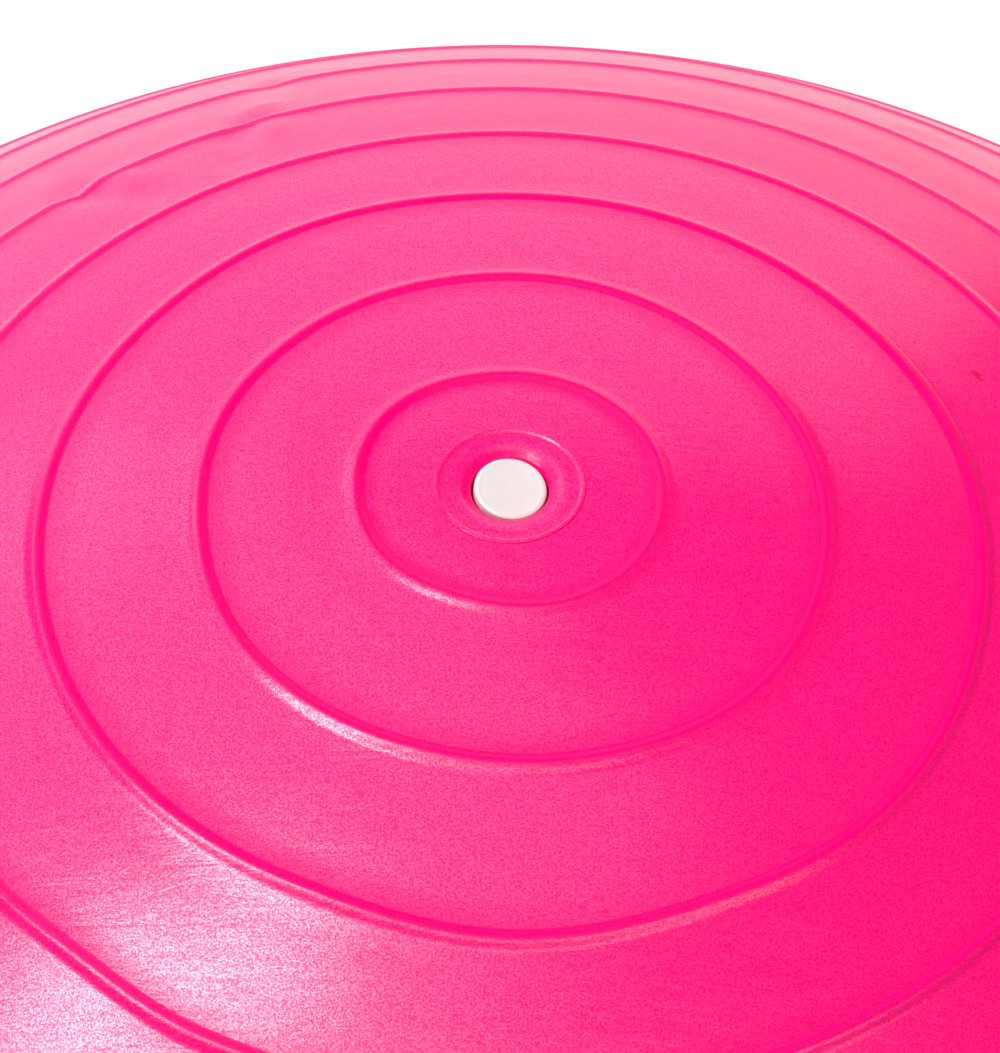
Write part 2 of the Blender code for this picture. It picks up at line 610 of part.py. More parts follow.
def build_underside(parts, rubber, plastic, steel):
    """Feet, mat, cap and the screws that are reached from below."""
    foot_top = PAN_BOTTOM + FOOT_SUNK - GAP
    barb = PAN_INSIDE + GAP
    foot = [
        (0, barb + 3 * MM),
        (FOOT_STEM_RADIUS - 1 * MM, barb + 3 * MM),
        (FOOT_STEM_RADIUS + FOOT_BARB, barb),
        (FOOT_STEM_RADIUS, barb),
        (FOOT_STEM_RADIUS, foot_top),
        (FOOT_RADIUS, foot_top),
        (FOOT_RADIUS - 1 * MM, 0),
        (0, 0),
    ]
    for i, (x, y) in enumerate(FOOT_PLACES, 1):
        piece = turned(f"foot_pad_{i}", foot, parts, facets=16, closed=False)
        piece.location = (x, y, 0)
        finish(piece, rubber)

    mat_top = PAN_BOTTOM + MAT_SUNK - GAP
    mat_bottom = mat_top - MAT_THICKNESS
    mat = [(MAT_OUTER, mat_top), (MAT_OUTER, mat_bottom), (MAT_INNER, mat_bottom), (MAT_INNER, mat_top)]
    finish(turned("tread_mat", mat, parts), rubber)

    cap_top = PAN_BOTTOM + CAP_SUNK - GAP
    skirt = CENTRE_BOLT[1] + 3 * HOLE_CLEARANCE
    cap = [
        (0, cap_top),
        (skirt - 1.2 * MM, cap_top),
        (skirt - 1.2 * MM, cap_top + CAP_SKIRT),
        (skirt, cap_top + CAP_SKIRT),
        (skirt, cap_top),
        (CAP_RADIUS, cap_top),
        (CAP_RADIUS - 0.6 * MM, cap_top - CAP_THICKNESS),
        (0, cap_top - CAP_THICKNESS),
    ]
    finish(turned("centre_cap", cap, parts, 24, closed=False), plastic)

    shank, head, head_height = CENTRE_BOLT
    head_top = POST_TOP - 8 * MM - GAP
    end = DECK_TOP - BLIND_ROOF - GAP
    bolt = [(0, end), (shank, end), (shank, head_top), (head, head_top)]
    bolt += [(head, head_top - head_height), (0, head_top - head_height)]
    finish(turned("centre_bolt", bolt, parts, 12, closed=False), steel)

    shank, head, head_height = PAN_SCREW
    head_top = POST_TOP - 7 * MM - GAP
    screw = [(0, end), (shank, end), (shank, head_top), (head, head_top)]
    screw += [(head, head_top - head_height), (0, head_top - head_height)]
    for i, (x, y) in enumerate(PAN_PLACES, 1):
        piece = turned(f"pan_screw_{i}", screw, parts, SCREW_FACETS, closed=False)
        piece.location = (x, y, 0)
        finish(piece, steel)


def build_grips(parts, cutters, surface):
    """The two finger pockets in the underside, open downwards."""
    for name, turn in (("grip_cup_right", 0.0), ("grip_cup_left", math.pi)):
        cup = grip_outline(GRIP_HALF_WIDTH, GRIP_DEPTH + 1 * MM, PAN_BOTTOM, name, parts)
        inside = grip_outline(
            GRIP_HALF_WIDTH - GRIP_WALL,
            GRIP_DEPTH + OVERLAP,
            PAN_BOTTOM + 1 * MM - OVERLAP - GRIP_WALL,
            name + "_inside",
            cutters,
        )
        rim = grip_outline(
            GRIP_HALF_WIDTH + GRIP_FLANGE, PAN_FLOOR - GAP, PAN_BOTTOM, name + "_rim", cutters
        )
        cup = combine(cup, [rim], "UNION")
        cup = combine(cup, [inside], "DIFFERENCE")
        cup.rotation_euler.z = turn
        finish(cup, surface)


def build_band_rings(parts, cutters, bracket_surface, steel):
    """Front and back: a bracket on the deck's rim, its two screws, and the ring that swings in it."""
    for place, side in (("front", -1), ("back", 1)):
        turn = 0.0 if side == 1 else math.pi
        back = PAD_FACE + GAP
        front = back + ANCHOR_PLATE
        low_z, high_z = PARTING_Z + 1 * MM, DECK_TOP - 2 * GAP
        bracket = box(
            f"band_anchor_{place}",
            (-ANCHOR_HALF_WIDTH, back, low_z),
            (ANCHOR_HALF_WIDTH, front, high_z),
            parts,
            turn=turn,
        )
        web = box(
            f"anchor_web_{place}",
            (-BARREL_HALF_LENGTH, front - 1 * MM, RING_PIN_Z - BARREL_RADIUS + 0.5 * MM),
            (BARREL_HALF_LENGTH, RING_PIN_Y, RING_PIN_Z + BARREL_RADIUS - 0.5 * MM),
            cutters,
            turn=turn,
        )
        ends = [(x, side * RING_PIN_Y, RING_PIN_Z) for x in (-BARREL_HALF_LENGTH, BARREL_HALF_LENGTH)]
        barrel = lying_cylinder(f"anchor_barrel_{place}", BARREL_RADIUS, *ends, cutters, 16)
        bracket = combine(bracket, [web, barrel], "UNION")
        bore_ends = [(1.6 * x, y, z) for x, y, z in ends]
        bore_radius = RING_WIRE_RADIUS + BARREL_CLEARANCE
        bore = lying_cylinder(f"anchor_bore_{place}", bore_radius, *bore_ends, cutters, 16)
        screw_holes = [
            anchor_hole(f"{place}_bracket_hole_{i}", side, x, cutters)
            for i, x in enumerate((-ANCHOR_SCREW_X, ANCHOR_SCREW_X))
        ]
        finish(combine(bracket, [bore, *screw_holes], "DIFFERENCE"), bracket_surface)

        for hand, x in (("left", -ANCHOR_SCREW_X), ("right", ANCHOR_SCREW_X)):
            anchor_screw(f"anchor_screw_{place}_{hand}", side, x, front, parts, steel)
        band_ring(f"band_ring_{place}", side, parts, steel)


def anchor_screw(name, side, x, seat, parts, surface):
    """A pan-head screw whose axis lies along Y, with its head on the bracket."""
    shank, head, head_height = ANCHOR_SCREW
    rise = seat + GAP
    profile = [
        (0, rise + head_height),
        (head - 1 * MM, rise + head_height),
        (head, rise + head_height / 2),
        (head, rise),
        (shank, rise),
        (shank, rise - ANCHOR_SCREW_LENGTH + GAP),
        (0, rise - ANCHOR_SCREW_LENGTH + GAP),
    ]
    screw = turned(name, profile, parts, SCREW_FACETS, closed=False)
    screw.rotation_euler = (-side * math.pi / 2, 0, 0)
    screw.location = (x, 0, ANCHOR_SCREW_Z)
    finish(screw, surface)


def band_ring(name, side, parts, surface):
    """A closed D of wire: its straight bar turns in the bracket, and the bow hangs below."""
    half, corner = RING_HALF_WIDTH, RING_CORNER
    path = []
    for centre_x, start in ((-half + corner, math.pi), (half - corner, math.pi / 2)):
        for i in range(4):
            a = start - i * math.pi / 6
            path.append((centre_x + corner * math.cos(a), -corner + corner * math.sin(a)))
    bow_steps = 10
    for i in range(bow_steps + 1):
        a = -math.pi * i / bow_steps
        path.append((half * math.cos(a), -RING_STRAIGHT + half * math.sin(a)))
    curve = bpy.data.curves.new(name, "CURVE")
    curve.dimensions = "3D"
    curve.bevel_depth = RING_WIRE_RADIUS
    curve.bevel_resolution = 2
    spline = curve.splines.new("POLY")
    spline.points.add(len(path) - 1)
    for point, (x, z) in zip(spline.points, path):
        point.co = (x, 0, z, 1)
    spline.use_cyclic_u = True
    ring = new_object(name, curve, parts)
    ring.location = (0, side * RING_PIN_Y, RING_PIN_Z)
    finish(as_mesh(ring), surface)


def main():
    for obj in list(bpy.data.objects):
        bpy.data.objects.remove(obj)
    parts = make_collection("balance_dome_trainer")
    cutters = make_collection("cutters", helper=True)

    pink_vinyl = material("pink_vinyl", (0.96, 0.01, 0.16), 0.45)
    white_vinyl = material("white_vinyl", (0.86, 0.83, 0.83), 0.4)
    black_plastic = material("black_plastic", (0.022, 0.022, 0.025), 0.5)
    grey_plastic = material("grey_plastic", (0.16, 0.16, 0.17), 0.55)
    black_rubber = material("black_rubber", (0.03, 0.03, 0.03), 0.8)
    zinc_steel = material("zinc_steel", (0.62, 0.62, 0.63), 0.3, metallic=1.0)

    build_dome(parts, pink_vinyl)
    build_valve(parts, pink_vinyl, white_vinyl)
    build_clamp(parts, cutters, black_plastic, black_rubber, zinc_steel)
    build_deck(parts, cutters, black_plastic)
    build_pan(parts, cutters, black_plastic)
    build_core(parts, cutters, grey_plastic)
    build_underside(parts, black_rubber, grey_plastic, zinc_steel)
    build_grips(parts, cutters, grey_plastic)
    build_band_rings(parts, cutters, black_plastic, zinc_steel)

    for helper in cutters.objects:
        helper.hide_render = True
        helper.display_type = "WIRE"


main()
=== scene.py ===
# Balance dome trainer: a pink inflated dome with raised rings, a white air plug at its crown,
# and a round black platform under it. Metres, +Z up, the floor at zero.
import math

import bpy
from mathutils import Matrix, Vector


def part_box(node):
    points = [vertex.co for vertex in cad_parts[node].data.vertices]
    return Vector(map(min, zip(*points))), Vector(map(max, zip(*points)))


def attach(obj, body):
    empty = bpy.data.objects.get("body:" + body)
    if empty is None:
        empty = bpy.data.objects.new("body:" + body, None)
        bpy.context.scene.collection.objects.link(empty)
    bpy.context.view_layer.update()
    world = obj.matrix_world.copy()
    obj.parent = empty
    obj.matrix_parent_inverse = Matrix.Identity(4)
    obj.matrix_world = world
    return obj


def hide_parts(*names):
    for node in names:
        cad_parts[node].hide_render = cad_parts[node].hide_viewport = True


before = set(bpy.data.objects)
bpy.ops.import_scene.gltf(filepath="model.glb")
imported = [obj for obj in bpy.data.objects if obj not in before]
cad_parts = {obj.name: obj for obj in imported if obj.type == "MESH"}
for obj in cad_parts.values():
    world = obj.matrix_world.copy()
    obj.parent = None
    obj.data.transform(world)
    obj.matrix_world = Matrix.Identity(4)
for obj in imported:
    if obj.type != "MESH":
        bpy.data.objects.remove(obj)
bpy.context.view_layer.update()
print("frame loaded:", len(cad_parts), "nodes")

mm = 0.001
fullTurn = 2 * math.pi
materials = {}


# working in the viewport's way


def deselectAll():
    if bpy.context.object and bpy.context.object.mode != "OBJECT":
        bpy.ops.object.mode_set(mode="OBJECT")
    bpy.ops.object.select_all(action="DESELECT")


def pickOnly(piece):
    deselectAll()
    piece.select_set(True)
    bpy.context.view_layer.objects.active = piece


def startPiece(name):  # the primitive just added becomes the piece, with its place in its mesh
    piece = bpy.context.object
    piece.name = name
    piece.data.name = name
    bpy.ops.object.transform_apply(location=True, rotation=True, scale=True)
    return piece


def editPiece(piece, part="VERT"):
    pickOnly(piece)
    bpy.ops.object.mode_set(mode="EDIT")
    bpy.ops.mesh.select_mode(type=part)
    bpy.ops.mesh.select_all(action="DESELECT")


def selectWhere(piece, test, kind="vertices"):  # in edit mode: picks what passes the test
    bpy.ops.object.mode_set(mode="OBJECT")
    for item in getattr(piece.data, kind):
        item.select = bool(test(item))
    bpy.ops.object.mode_set(mode="EDIT")


def closeSeams(piece, gap=0.004 * mm):
    editPiece(piece)
    bpy.ops.mesh.select_all(action="SELECT")
    bpy.ops.mesh.remove_doubles(threshold=gap)
    bpy.ops.mesh.normals_make_consistent(inside=False)
    bpy.ops.object.mode_set(mode="OBJECT")


def applyModifier(piece, kind, **settings):
    pickOnly(piece)
    modifier = piece.modifiers.new(kind.title(), kind)
    for key, value in settings.items():
        setattr(modifier, key, value)
    bpy.ops.object.modifier_apply(modifier=modifier.name)


def softenEdges(piece, width, angle=32):
    applyModifier(
        piece,
        "BEVEL",
        width=width,
        segments=3,
        limit_method="ANGLE",
        angle_limit=math.radians(angle),
        use_clamp_overlap=True,
    )


def shadeSoft(piece, angle):
    pickOnly(piece)
    bpy.ops.object.shade_smooth_by_angle(angle=math.radians(angle))


def joinTo(piece, others, operation):  # Boolean with each helper, which is then thrown away
    for other in others:
        applyModifier(piece, "BOOLEAN", operation=operation, solver="EXACT", object=other)
        bpy.data.objects.remove(other)
    closeSeams(piece)


def copyPiece(piece, name, move=(0, 0, 0), turn=0.0):  # its own mesh, moved or turned about Z
    pickOnly(piece)
    bpy.ops.object.duplicate()
    copy = bpy.context.object
    copy.name = name
    copy.data.name = name
    copy.location = move
    copy.rotation_euler = (0, 0, turn)
    bpy.ops.object.transform_apply(location=True, rotation=True, scale=True)
    return copy


# outlines for turned pieces: lists of (radius, height)


def arcOf(centre, radius, first, last, steps):
    turns = [math.radians(first + (last - first) * i / steps) for i in range(steps + 1)]
    return [(centre[0] + radius * math.cos(a), centre[1] + radius * math.sin(a)) for a in turns]


def rounded(corners, steps=4, loop=True):  # each corner is (radius, height, rounding)
    outline = []
    count = len(corners)
    for i, (r, z, size) in enumerate(corners):
        here = Vector((r, z))
        if size <= 0 or (not loop and i in (0, count - 1)):
            outline.append((r, z))
            continue
        before = Vector(corners[i - 1][:2]) - here
        after = Vector(corners[(i + 1) % count][:2]) - here
        size = min(size, before.length * 0.49, after.length * 0.49)
        start, end = here + before.normalized() * size, here + after.normalized() * size
        for s in range(steps + 1):
            t = s / steps
            point = start * (1 - t) ** 2 + here * 2 * t * (1 - t) + end * t**2
            outline.append((point.x, point.y))
    if loop:
        outline.append(outline[0])
    return outline


def turned(name, outline, sides):
    deselectAll()
    bpy.ops.mesh.primitive_plane_add(size=mm, location=(outline[0][0], 0, outline[0][1]))
    piece = startPiece(name)
    editPiece(piece)
    bpy.ops.mesh.select_all(action="SELECT")
    bpy.ops.mesh.merge(type="CENTER")
    for here, there in zip(outline, outline[1:]):
        step = (there[0] - here[0], 0, there[1] - here[1])
        bpy.ops.mesh.extrude_region_move(TRANSFORM_OT_translate={"value": step})
    bpy.ops.mesh.select_all(action="SELECT")
    bpy.ops.mesh.remove_doubles(threshold=0.002 * mm)
    bpy.ops.mesh.spin(steps=sides, angle=fullTurn, center=(0, 0, 0), axis=(0, 0, 1))
    closeSeams(piece)
    return piece


def rod(name, radius, start, end, sides):  # a cylinder between two points
    start, end = Vector(start), Vector(end)
    along = end - start
    deselectAll()
    bpy.ops.mesh.primitive_cylinder_add(
        vertices=sides,
        radius=radius,
        depth=along.length,
        location=(start + end) / 2,
        rotation=along.to_track_quat("Z", "Y").to_euler(),
    )
    return startPiece(name)


def block(name, low, high):
    low, high = Vector(low), Vector(high)
    deselectAll()
    bpy.ops.mesh.primitive_cube_add(size=1, location=(low + high) / 2, scale=high - low)
    return startPiece(name)


def ringPlaces(count, radius, first):
    turns = [math.radians(first) + fullTurn * i / count for i in range(count)]
    return [(radius * math.cos(a), radius * math.sin(a)) for a in turns]


# finishes


def newFinish(name):
    finish = bpy.data.materials.new(name)
    finish.use_nodes = True
    tree = finish.node_tree
    shader = tree.nodes["Principled BSDF"]
    place = tree.nodes.new("ShaderNodeTexCoord").outputs["Object"]
    materials[name] = finish
    return tree, shader, place


def link(tree, source, target):
    tree.links.new(source, target)


def noiseOf(tree, place, scale, detail, roughness, stretch=None, distortion=0.0):
    if stretch:
        mapping = tree.nodes.new("ShaderNodeMapping")
        mapping.inputs["Scale"].default_value = stretch["scale"]
        mapping.inputs["Rotation"].default_value = [math.radians(a) for a in stretch["turn"]]
        link(tree, place, mapping.inputs["Vector"])
        place = mapping.outputs["Vector"]
    noise = tree.nodes.new("ShaderNodeTexNoise")
    noise.inputs["Scale"].default_value = scale
    noise.inputs["Detail"].default_value = detail
    noise.inputs["Roughness"].default_value = roughness
    noise.inputs["Distortion"].default_value = distortion
    link(tree, place, noise.inputs["Vector"])
    return noise.outputs["Fac"]


def cellsOf(tree, place, scale):
    cells = tree.nodes.new("ShaderNodeTexVoronoi")
    cells.inputs["Scale"].default_value = scale
    link(tree, place, cells.inputs["Vector"])
    return cells.outputs["Distance"]


def rangeOf(tree, value, fromLow, fromHigh, toLow, toHigh):
    remap = tree.nodes.new("ShaderNodeMapRange")
    remap.clamp = True
    keys = ("From Min", "From Max", "To Min", "To Max")
    for key, number in zip(keys, (fromLow, fromHigh, toLow, toHigh)):
        remap.inputs[key].default_value = number
    link(tree, value, remap.inputs["Value"])
    return remap.outputs["Result"]


def mathOf(tree, operation, first, second):
    node = tree.nodes.new("ShaderNodeMath")
    node.operation = operation
    for socket, value in zip(node.inputs, (first, second)):
        if isinstance(value, (int, float)):
            socket.default_value = value
        else:
            link(tree, value, socket)
    return node.outputs[0]


def blendColour(tree, factor, first, second):
    mix = tree.nodes.new("ShaderNodeMix")
    mix.data_type = "RGBA"
    link(tree, factor, mix.inputs[0])
    for socket, value in ((mix.inputs[6], first), (mix.inputs[7], second)):
        if isinstance(value, tuple):
            socket.default_value = (*value, 1)
        else:
            link(tree, value, socket)
    return mix.outputs[2]


def bumpOf(tree, height, depth, normal=None):
    bump = tree.nodes.new("ShaderNodeBump")
    bump.inputs["Strength"].default_value = 1.0
    bump.inputs["Distance"].default_value = depth
    link(tree, height, bump.inputs["Height"])
    if normal:
        link(tree, normal, bump.inputs["Normal"])
    return bump.outputs["Normal"]


# in the looks below each noise is (scale, detail, roughness)
pinkLook = {
    "deep": (0.965, 0.0010, 0.144),
    "pale": (0.975, 0.0130, 0.214),
    # "rib" is the even deep colour of the painted shade band along each rib
    "rib": (0.975, 0.0010, 0.150),
    "mark": (0.62, 0.0, 0.075),
    "speckle": (2900, 2, 0.6),
    "speckleSpan": (0.41, 0.59),
    "patches": (14, 4, 0.6),
    "patchTone": 0.08,
    "streaks": (120, 4, 0.6),
    "streakStretch": {"scale": (0.45, 2.4, 1.2), "turn": (0, 0, 52)},
    "streakTwist": 1.6,
    "streakSpan": (0.34, 0.68),
    "streakDepth": 0.06 * mm,
    "grain": (2610, 2, 0.55),
    "grainDepth": 0.020 * mm,
    "swells": (26, 2, 0.45),
    "swellDepth": 0.30 * mm,
    "roughness": (0.20, 0.27),
    "shineSpan": (0.40, 0.60),
    "shine": (0.20, 0.66),  # of the specks, low and high
    "paintedShadeShine": 0.2,  # how much of it is left on the smooth painted shade bands along the ribs
    "ribGrain": 0.25,  # and how much of the grain
}


def makePinkVinyl():
    tree, shader, place = newFinish("pinkVinyl")
    look = pinkLook
    # the painted shade band along the ribs and in the valve's dish, read from the mesh
    paintedShade = tree.nodes.new("ShaderNodeAttribute")
    paintedShade.attribute_name = "paintedShade"
    paintedShade = paintedShade.outputs["Fac"]
    speckle = noiseOf(tree, place, *look["speckle"])
    patches = noiseOf(tree, place, *look["patches"])
    specks = rangeOf(tree, speckle, *look["speckleSpan"], 0, 1)
    drift = rangeOf(tree, patches, 0.3, 0.7, -look["patchTone"], look["patchTone"])
    colour = blendColour(tree, mathOf(tree, "ADD", specks, drift), look["deep"], look["pale"])
    # painted shade: on the band the specks give way to one even deep pink
    colour = blendColour(tree, paintedShade, colour, look["rib"])
    colour = blendColour(tree, marksOf(tree, place), colour, look["mark"])
    link(tree, colour, shader.inputs["Base Color"])
    streaks = noiseOf(tree, place, *look["streaks"], look["streakStretch"], look["streakTwist"])
    rough = rangeOf(tree, streaks, *look["streakSpan"], *look["roughness"])
    link(tree, rough, shader.inputs["Roughness"])
    shine = rangeOf(tree, speckle, *look["shineSpan"], *look["shine"])
    # painted shade: the band also loses most of its shine
    shine = mathOf(tree, "MULTIPLY", shine, rangeOf(tree, paintedShade, 0, 1, 1, look["paintedShadeShine"]))
    link(tree, shine, shader.inputs["Specular IOR Level"])
    grain = noiseOf(tree, place, *look["grain"])
    grained = mathOf(tree, "MULTIPLY", grain, rangeOf(tree, paintedShade, 0, 1, 1, look["ribGrain"]))
    normal = bumpOf(tree, grained, look["grainDepth"])
    normal = bumpOf(tree, streaks, look["streakDepth"], normal)
    swells = noiseOf(tree, place, *look["swells"])
    normal = bumpOf(tree, swells, look["swellDepth"], normal)
    link(tree, normal, shader.inputs["Normal"])


# small rubbed marks on the skin: ends on the plan, width, strength
skinMarks = [
    ((86.2, 44.6), (88.9, 40.0), 0.9, 0.75),
    ((23.4, 47.2), (25.8, 44.0), 0.35, 0.28),
    ((29.0, 30.8), (32.4, 25.6), 0.35, 0.25),
]
markEdge = {"shred": (700, 2, 0.6), "ragged": 0.35, "fade": (0.55, 1.05)}


def marksOf(tree, place):
    plan = tree.nodes.new("ShaderNodeVectorMath")
    plan.operation = "MULTIPLY"
    plan.inputs[1].default_value = (1, 1, 0)
    link(tree, place, plan.inputs[0])
    shred = noiseOf(tree, place, *markEdge["shred"])
    ragged = rangeOf(tree, shred, 0.3, 0.7, -markEdge["ragged"], markEdge["ragged"])
    total = None
    for start, end, wide, strength in skinMarks:
        start, end = Vector((*start, 0)) * mm, Vector((*end, 0)) * mm
        middle, along = (start + end) / 2, (end - start).normalized()
        turn = tree.nodes.new("ShaderNodeMapping")
        turn.vector_type = "TEXTURE"
        turn.inputs["Location"].default_value = middle
        turn.inputs["Rotation"].default_value = (0, 0, math.atan2(along.y, along.x))
        turn.inputs["Scale"].default_value = ((end - start).length / 2, wide * mm, 1)
        link(tree, plan.outputs[0], turn.inputs["Vector"])
        length = tree.nodes.new("ShaderNodeVectorMath")
        length.operation = "LENGTH"
        link(tree, turn.outputs["Vector"], length.inputs[0])
        reach = mathOf(tree, "ADD", length.outputs["Value"], ragged)
        mark = rangeOf(tree, reach, *markEdge["fade"], strength, 0)
        total = mathOf(tree, "MAXIMUM", total, mark) if total else mark
    return total


whiteLook = {
    "base": (0.715, 0.655, 0.65),
    "shade": (0.68, 0.61, 0.605),
    "roughness": (0.33, 0.45),
    "patches": (160, 3, 0.5),
    "scuffs": (900, 3, 0.6),
    "grain": (700, 2, 0.5),
    "grainDepth": 0.012 * mm,
}


def makeWhiteVinyl():
    tree, shader, place = newFinish("whiteVinyl")
    look = whiteLook
    patches = noiseOf(tree, place, *look["patches"])
    mix = rangeOf(tree, patches, 0.35, 0.7, 0, 1)
    link(tree, blendColour(tree, mix, look["base"], look["shade"]), shader.inputs["Base Color"])
    scuffs = noiseOf(tree, place, *look["scuffs"])
    link(tree, rangeOf(tree, scuffs, 0.3, 0.7, *look["roughness"]), shader.inputs["Roughness"])
    normal = bumpOf(tree, noiseOf(tree, place, *look["grain"]), look["grainDepth"])
    link(tree, normal, shader.inputs["Normal"])


# moulded plastic with a fine spark-eroded texture, rubbed a little paler on its high spots
mouldedLook = {
    "patches": (22, 5, 0.6),
    "marks": (75, 4, 0.6),
    "markStretch": {"scale": (1, 1, 4), "turn": (0, 0, 0)},
    "blackPlastic": {
        "base": (0.018, 0.018, 0.020),
        "worn": (0.040, 0.040, 0.043),
        "roughness": (0.42, 0.58),
        "grainScale": 1100,
        "grainDepth": 0.05 * mm,
    },
    "greyPlastic": {
        "base": (0.120, 0.122, 0.130),
        "worn": (0.185, 0.187, 0.195),
        "roughness": (0.46, 0.62),
        "grainScale": 1300,
        "grainDepth": 0.04 * mm,
    },
}


def makeMoulded(name):
    tree, shader, place = newFinish(name)
    look = mouldedLook[name]
    patches = noiseOf(tree, place, *mouldedLook["patches"])
    grain = cellsOf(tree, place, look["grainScale"])
    worn = rangeOf(tree, patches, 0.45, 0.75, 0, 1)
    rubbed = mathOf(tree, "MULTIPLY", worn, rangeOf(tree, grain, 0.2, 0.7, 0.2, 1))
    link(tree, blendColour(tree, rubbed, look["base"], look["worn"]), shader.inputs["Base Color"])
    marks = noiseOf(tree, place, *mouldedLook["marks"], mouldedLook["markStretch"])
    link(tree, rangeOf(tree, marks, 0.3, 0.7, *look["roughness"]), shader.inputs["Roughness"])
    normal = bumpOf(tree, grain, look["grainDepth"])
    fine = noiseOf(tree, place, look["grainScale"] * 0.4, 3, 0.5)
    normal = bumpOf(tree, fine, look["grainDepth"] * 0.8, normal)
    link(tree, normal, shader.inputs["Normal"])


rubberLook = {
    "base": (0.020, 0.020, 0.021),
    "dusty": (0.075, 0.073, 0.070),
    "dust": (40, 6, 0.65),
    "fine": (1400, 2, 0.5),
    "mostDust": 0.8,
    "roughness": (0.62, 0.82),
    "grainDepth": 0.03 * mm,
}


def makeRubber():
    tree, shader, place = newFinish("blackRubber")
    look = rubberLook
    dust = noiseOf(tree, place, *look["dust"])
    fine = noiseOf(tree, place, *look["fine"])
    settled = rangeOf(tree, dust, 0.42, 0.75, 0, look["mostDust"])
    dusty = mathOf(tree, "MULTIPLY", settled, rangeOf(tree, fine, 0.35, 0.65, 0.3, 1))
    link(tree, blendColour(tree, dusty, look["base"], look["dusty"]), shader.inputs["Base Color"])
    link(tree, rangeOf(tree, dust, 0.3, 0.7, *look["roughness"]), shader.inputs["Roughness"])
    link(tree, bumpOf(tree, fine, look["grainDepth"]), shader.inputs["Normal"])


zincLook = {
    "bright": (0.66, 0.665, 0.67),
    "dull": (0.52, 0.53, 0.55),
    "spangleScale": 420,
    "stain": (130, 4, 0.6),
    "roughness": (0.22, 0.36),
    "scratches": (500, 3, 0.6),
    "scratchStretch": {"scale": (1, 1, 0.12), "turn": (25, 40, 0)},
    "scratchDepth": 0.006 * mm,
}


def makeZinc():
    tree, shader, place = newFinish("zincSteel")
    look = zincLook
    shader.inputs["Metallic"].default_value = 1.0
    spangle = cellsOf(tree, place, look["spangleScale"])
    stain = noiseOf(tree, place, *look["stain"])
    tint = blendColour(tree, rangeOf(tree, stain, 0.4, 0.7, 0, 1), look["bright"], look["dull"])
    link(tree, tint, shader.inputs["Base Color"])
    link(tree, rangeOf(tree, spangle, 0.1, 0.8, *look["roughness"]), shader.inputs["Roughness"])
    scratches = noiseOf(tree, place, *look["scratches"], look["scratchStretch"])
    link(tree, bumpOf(tree, scratches, look["scratchDepth"]), shader.inputs["Normal"])


makePinkVinyl()
makeWhiteVinyl()
makeMoulded("blackPlastic")
makeMoulded("greyPlastic")
makeRubber()
makeZinc()
print("finishes made:", ", ".join(materials))


def finishPiece(piece, finish, body, nodes, shade):
    piece.data.materials.clear()
    piece.data.materials.append(materials[finish])
    shadeSoft(piece, shade)
    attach(piece, body)
    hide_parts(*nodes)
    print("made", piece.name, len(piece.data.polygons), "faces")


# dome skin

domeSkin = {
    "radius": 295 * mm,
    "hole": 13.1 * mm,  # around the valve seat
    "mouth": 278 * mm,  # radius where the skin passes the clamp ring
    "mouthZ": 50.5 * mm,
    "skin": 3 * mm,
    "crest": 0.35 * mm,
    "innerFoot": 1.9 * mm,
    "outerFoot": 2.7 * mm,
    "ribHeight": 0.58 * mm,
    "firstRib": 27 * mm,
    "ribPitch": 29.3 * mm,
    "ribs": 11,
    "beadCircle": 290.5 * mm,
    "bead": 3 * mm,
    "flangeZ": 44.3 * mm,
    "sides": 288,
}
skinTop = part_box("dome_skin")[1][2]
domeCentreZ = skinTop - math.sqrt(domeSkin["radius"] ** 2 - domeSkin["hole"] ** 2)
crownZ = domeCentreZ + domeSkin["radius"]


def onDome(arc, lift=0.0):  # a point of the section, at an arc length from the crown
    angle = arc / domeSkin["radius"]
    reach = domeSkin["radius"] + lift
    return (reach * math.sin(angle), domeCentreZ + reach * math.cos(angle))


def ribLift(arc):  # soft feet; the crest stands a little outside the middle
    ribs, first, pitch = domeSkin["ribs"], domeSkin["firstRib"], domeSkin["ribPitch"]
    rib = min(max(round((arc - first) / pitch), 0), ribs - 1)
    away = arc - first - rib * pitch - domeSkin["crest"]
    reach = domeSkin["innerFoot"] if away < 0 else domeSkin["outerFoot"]
    if abs(away) >= reach:
        return 0.0
    return domeSkin["ribHeight"] * (0.5 + 0.5 * math.cos(math.pi * away / reach))


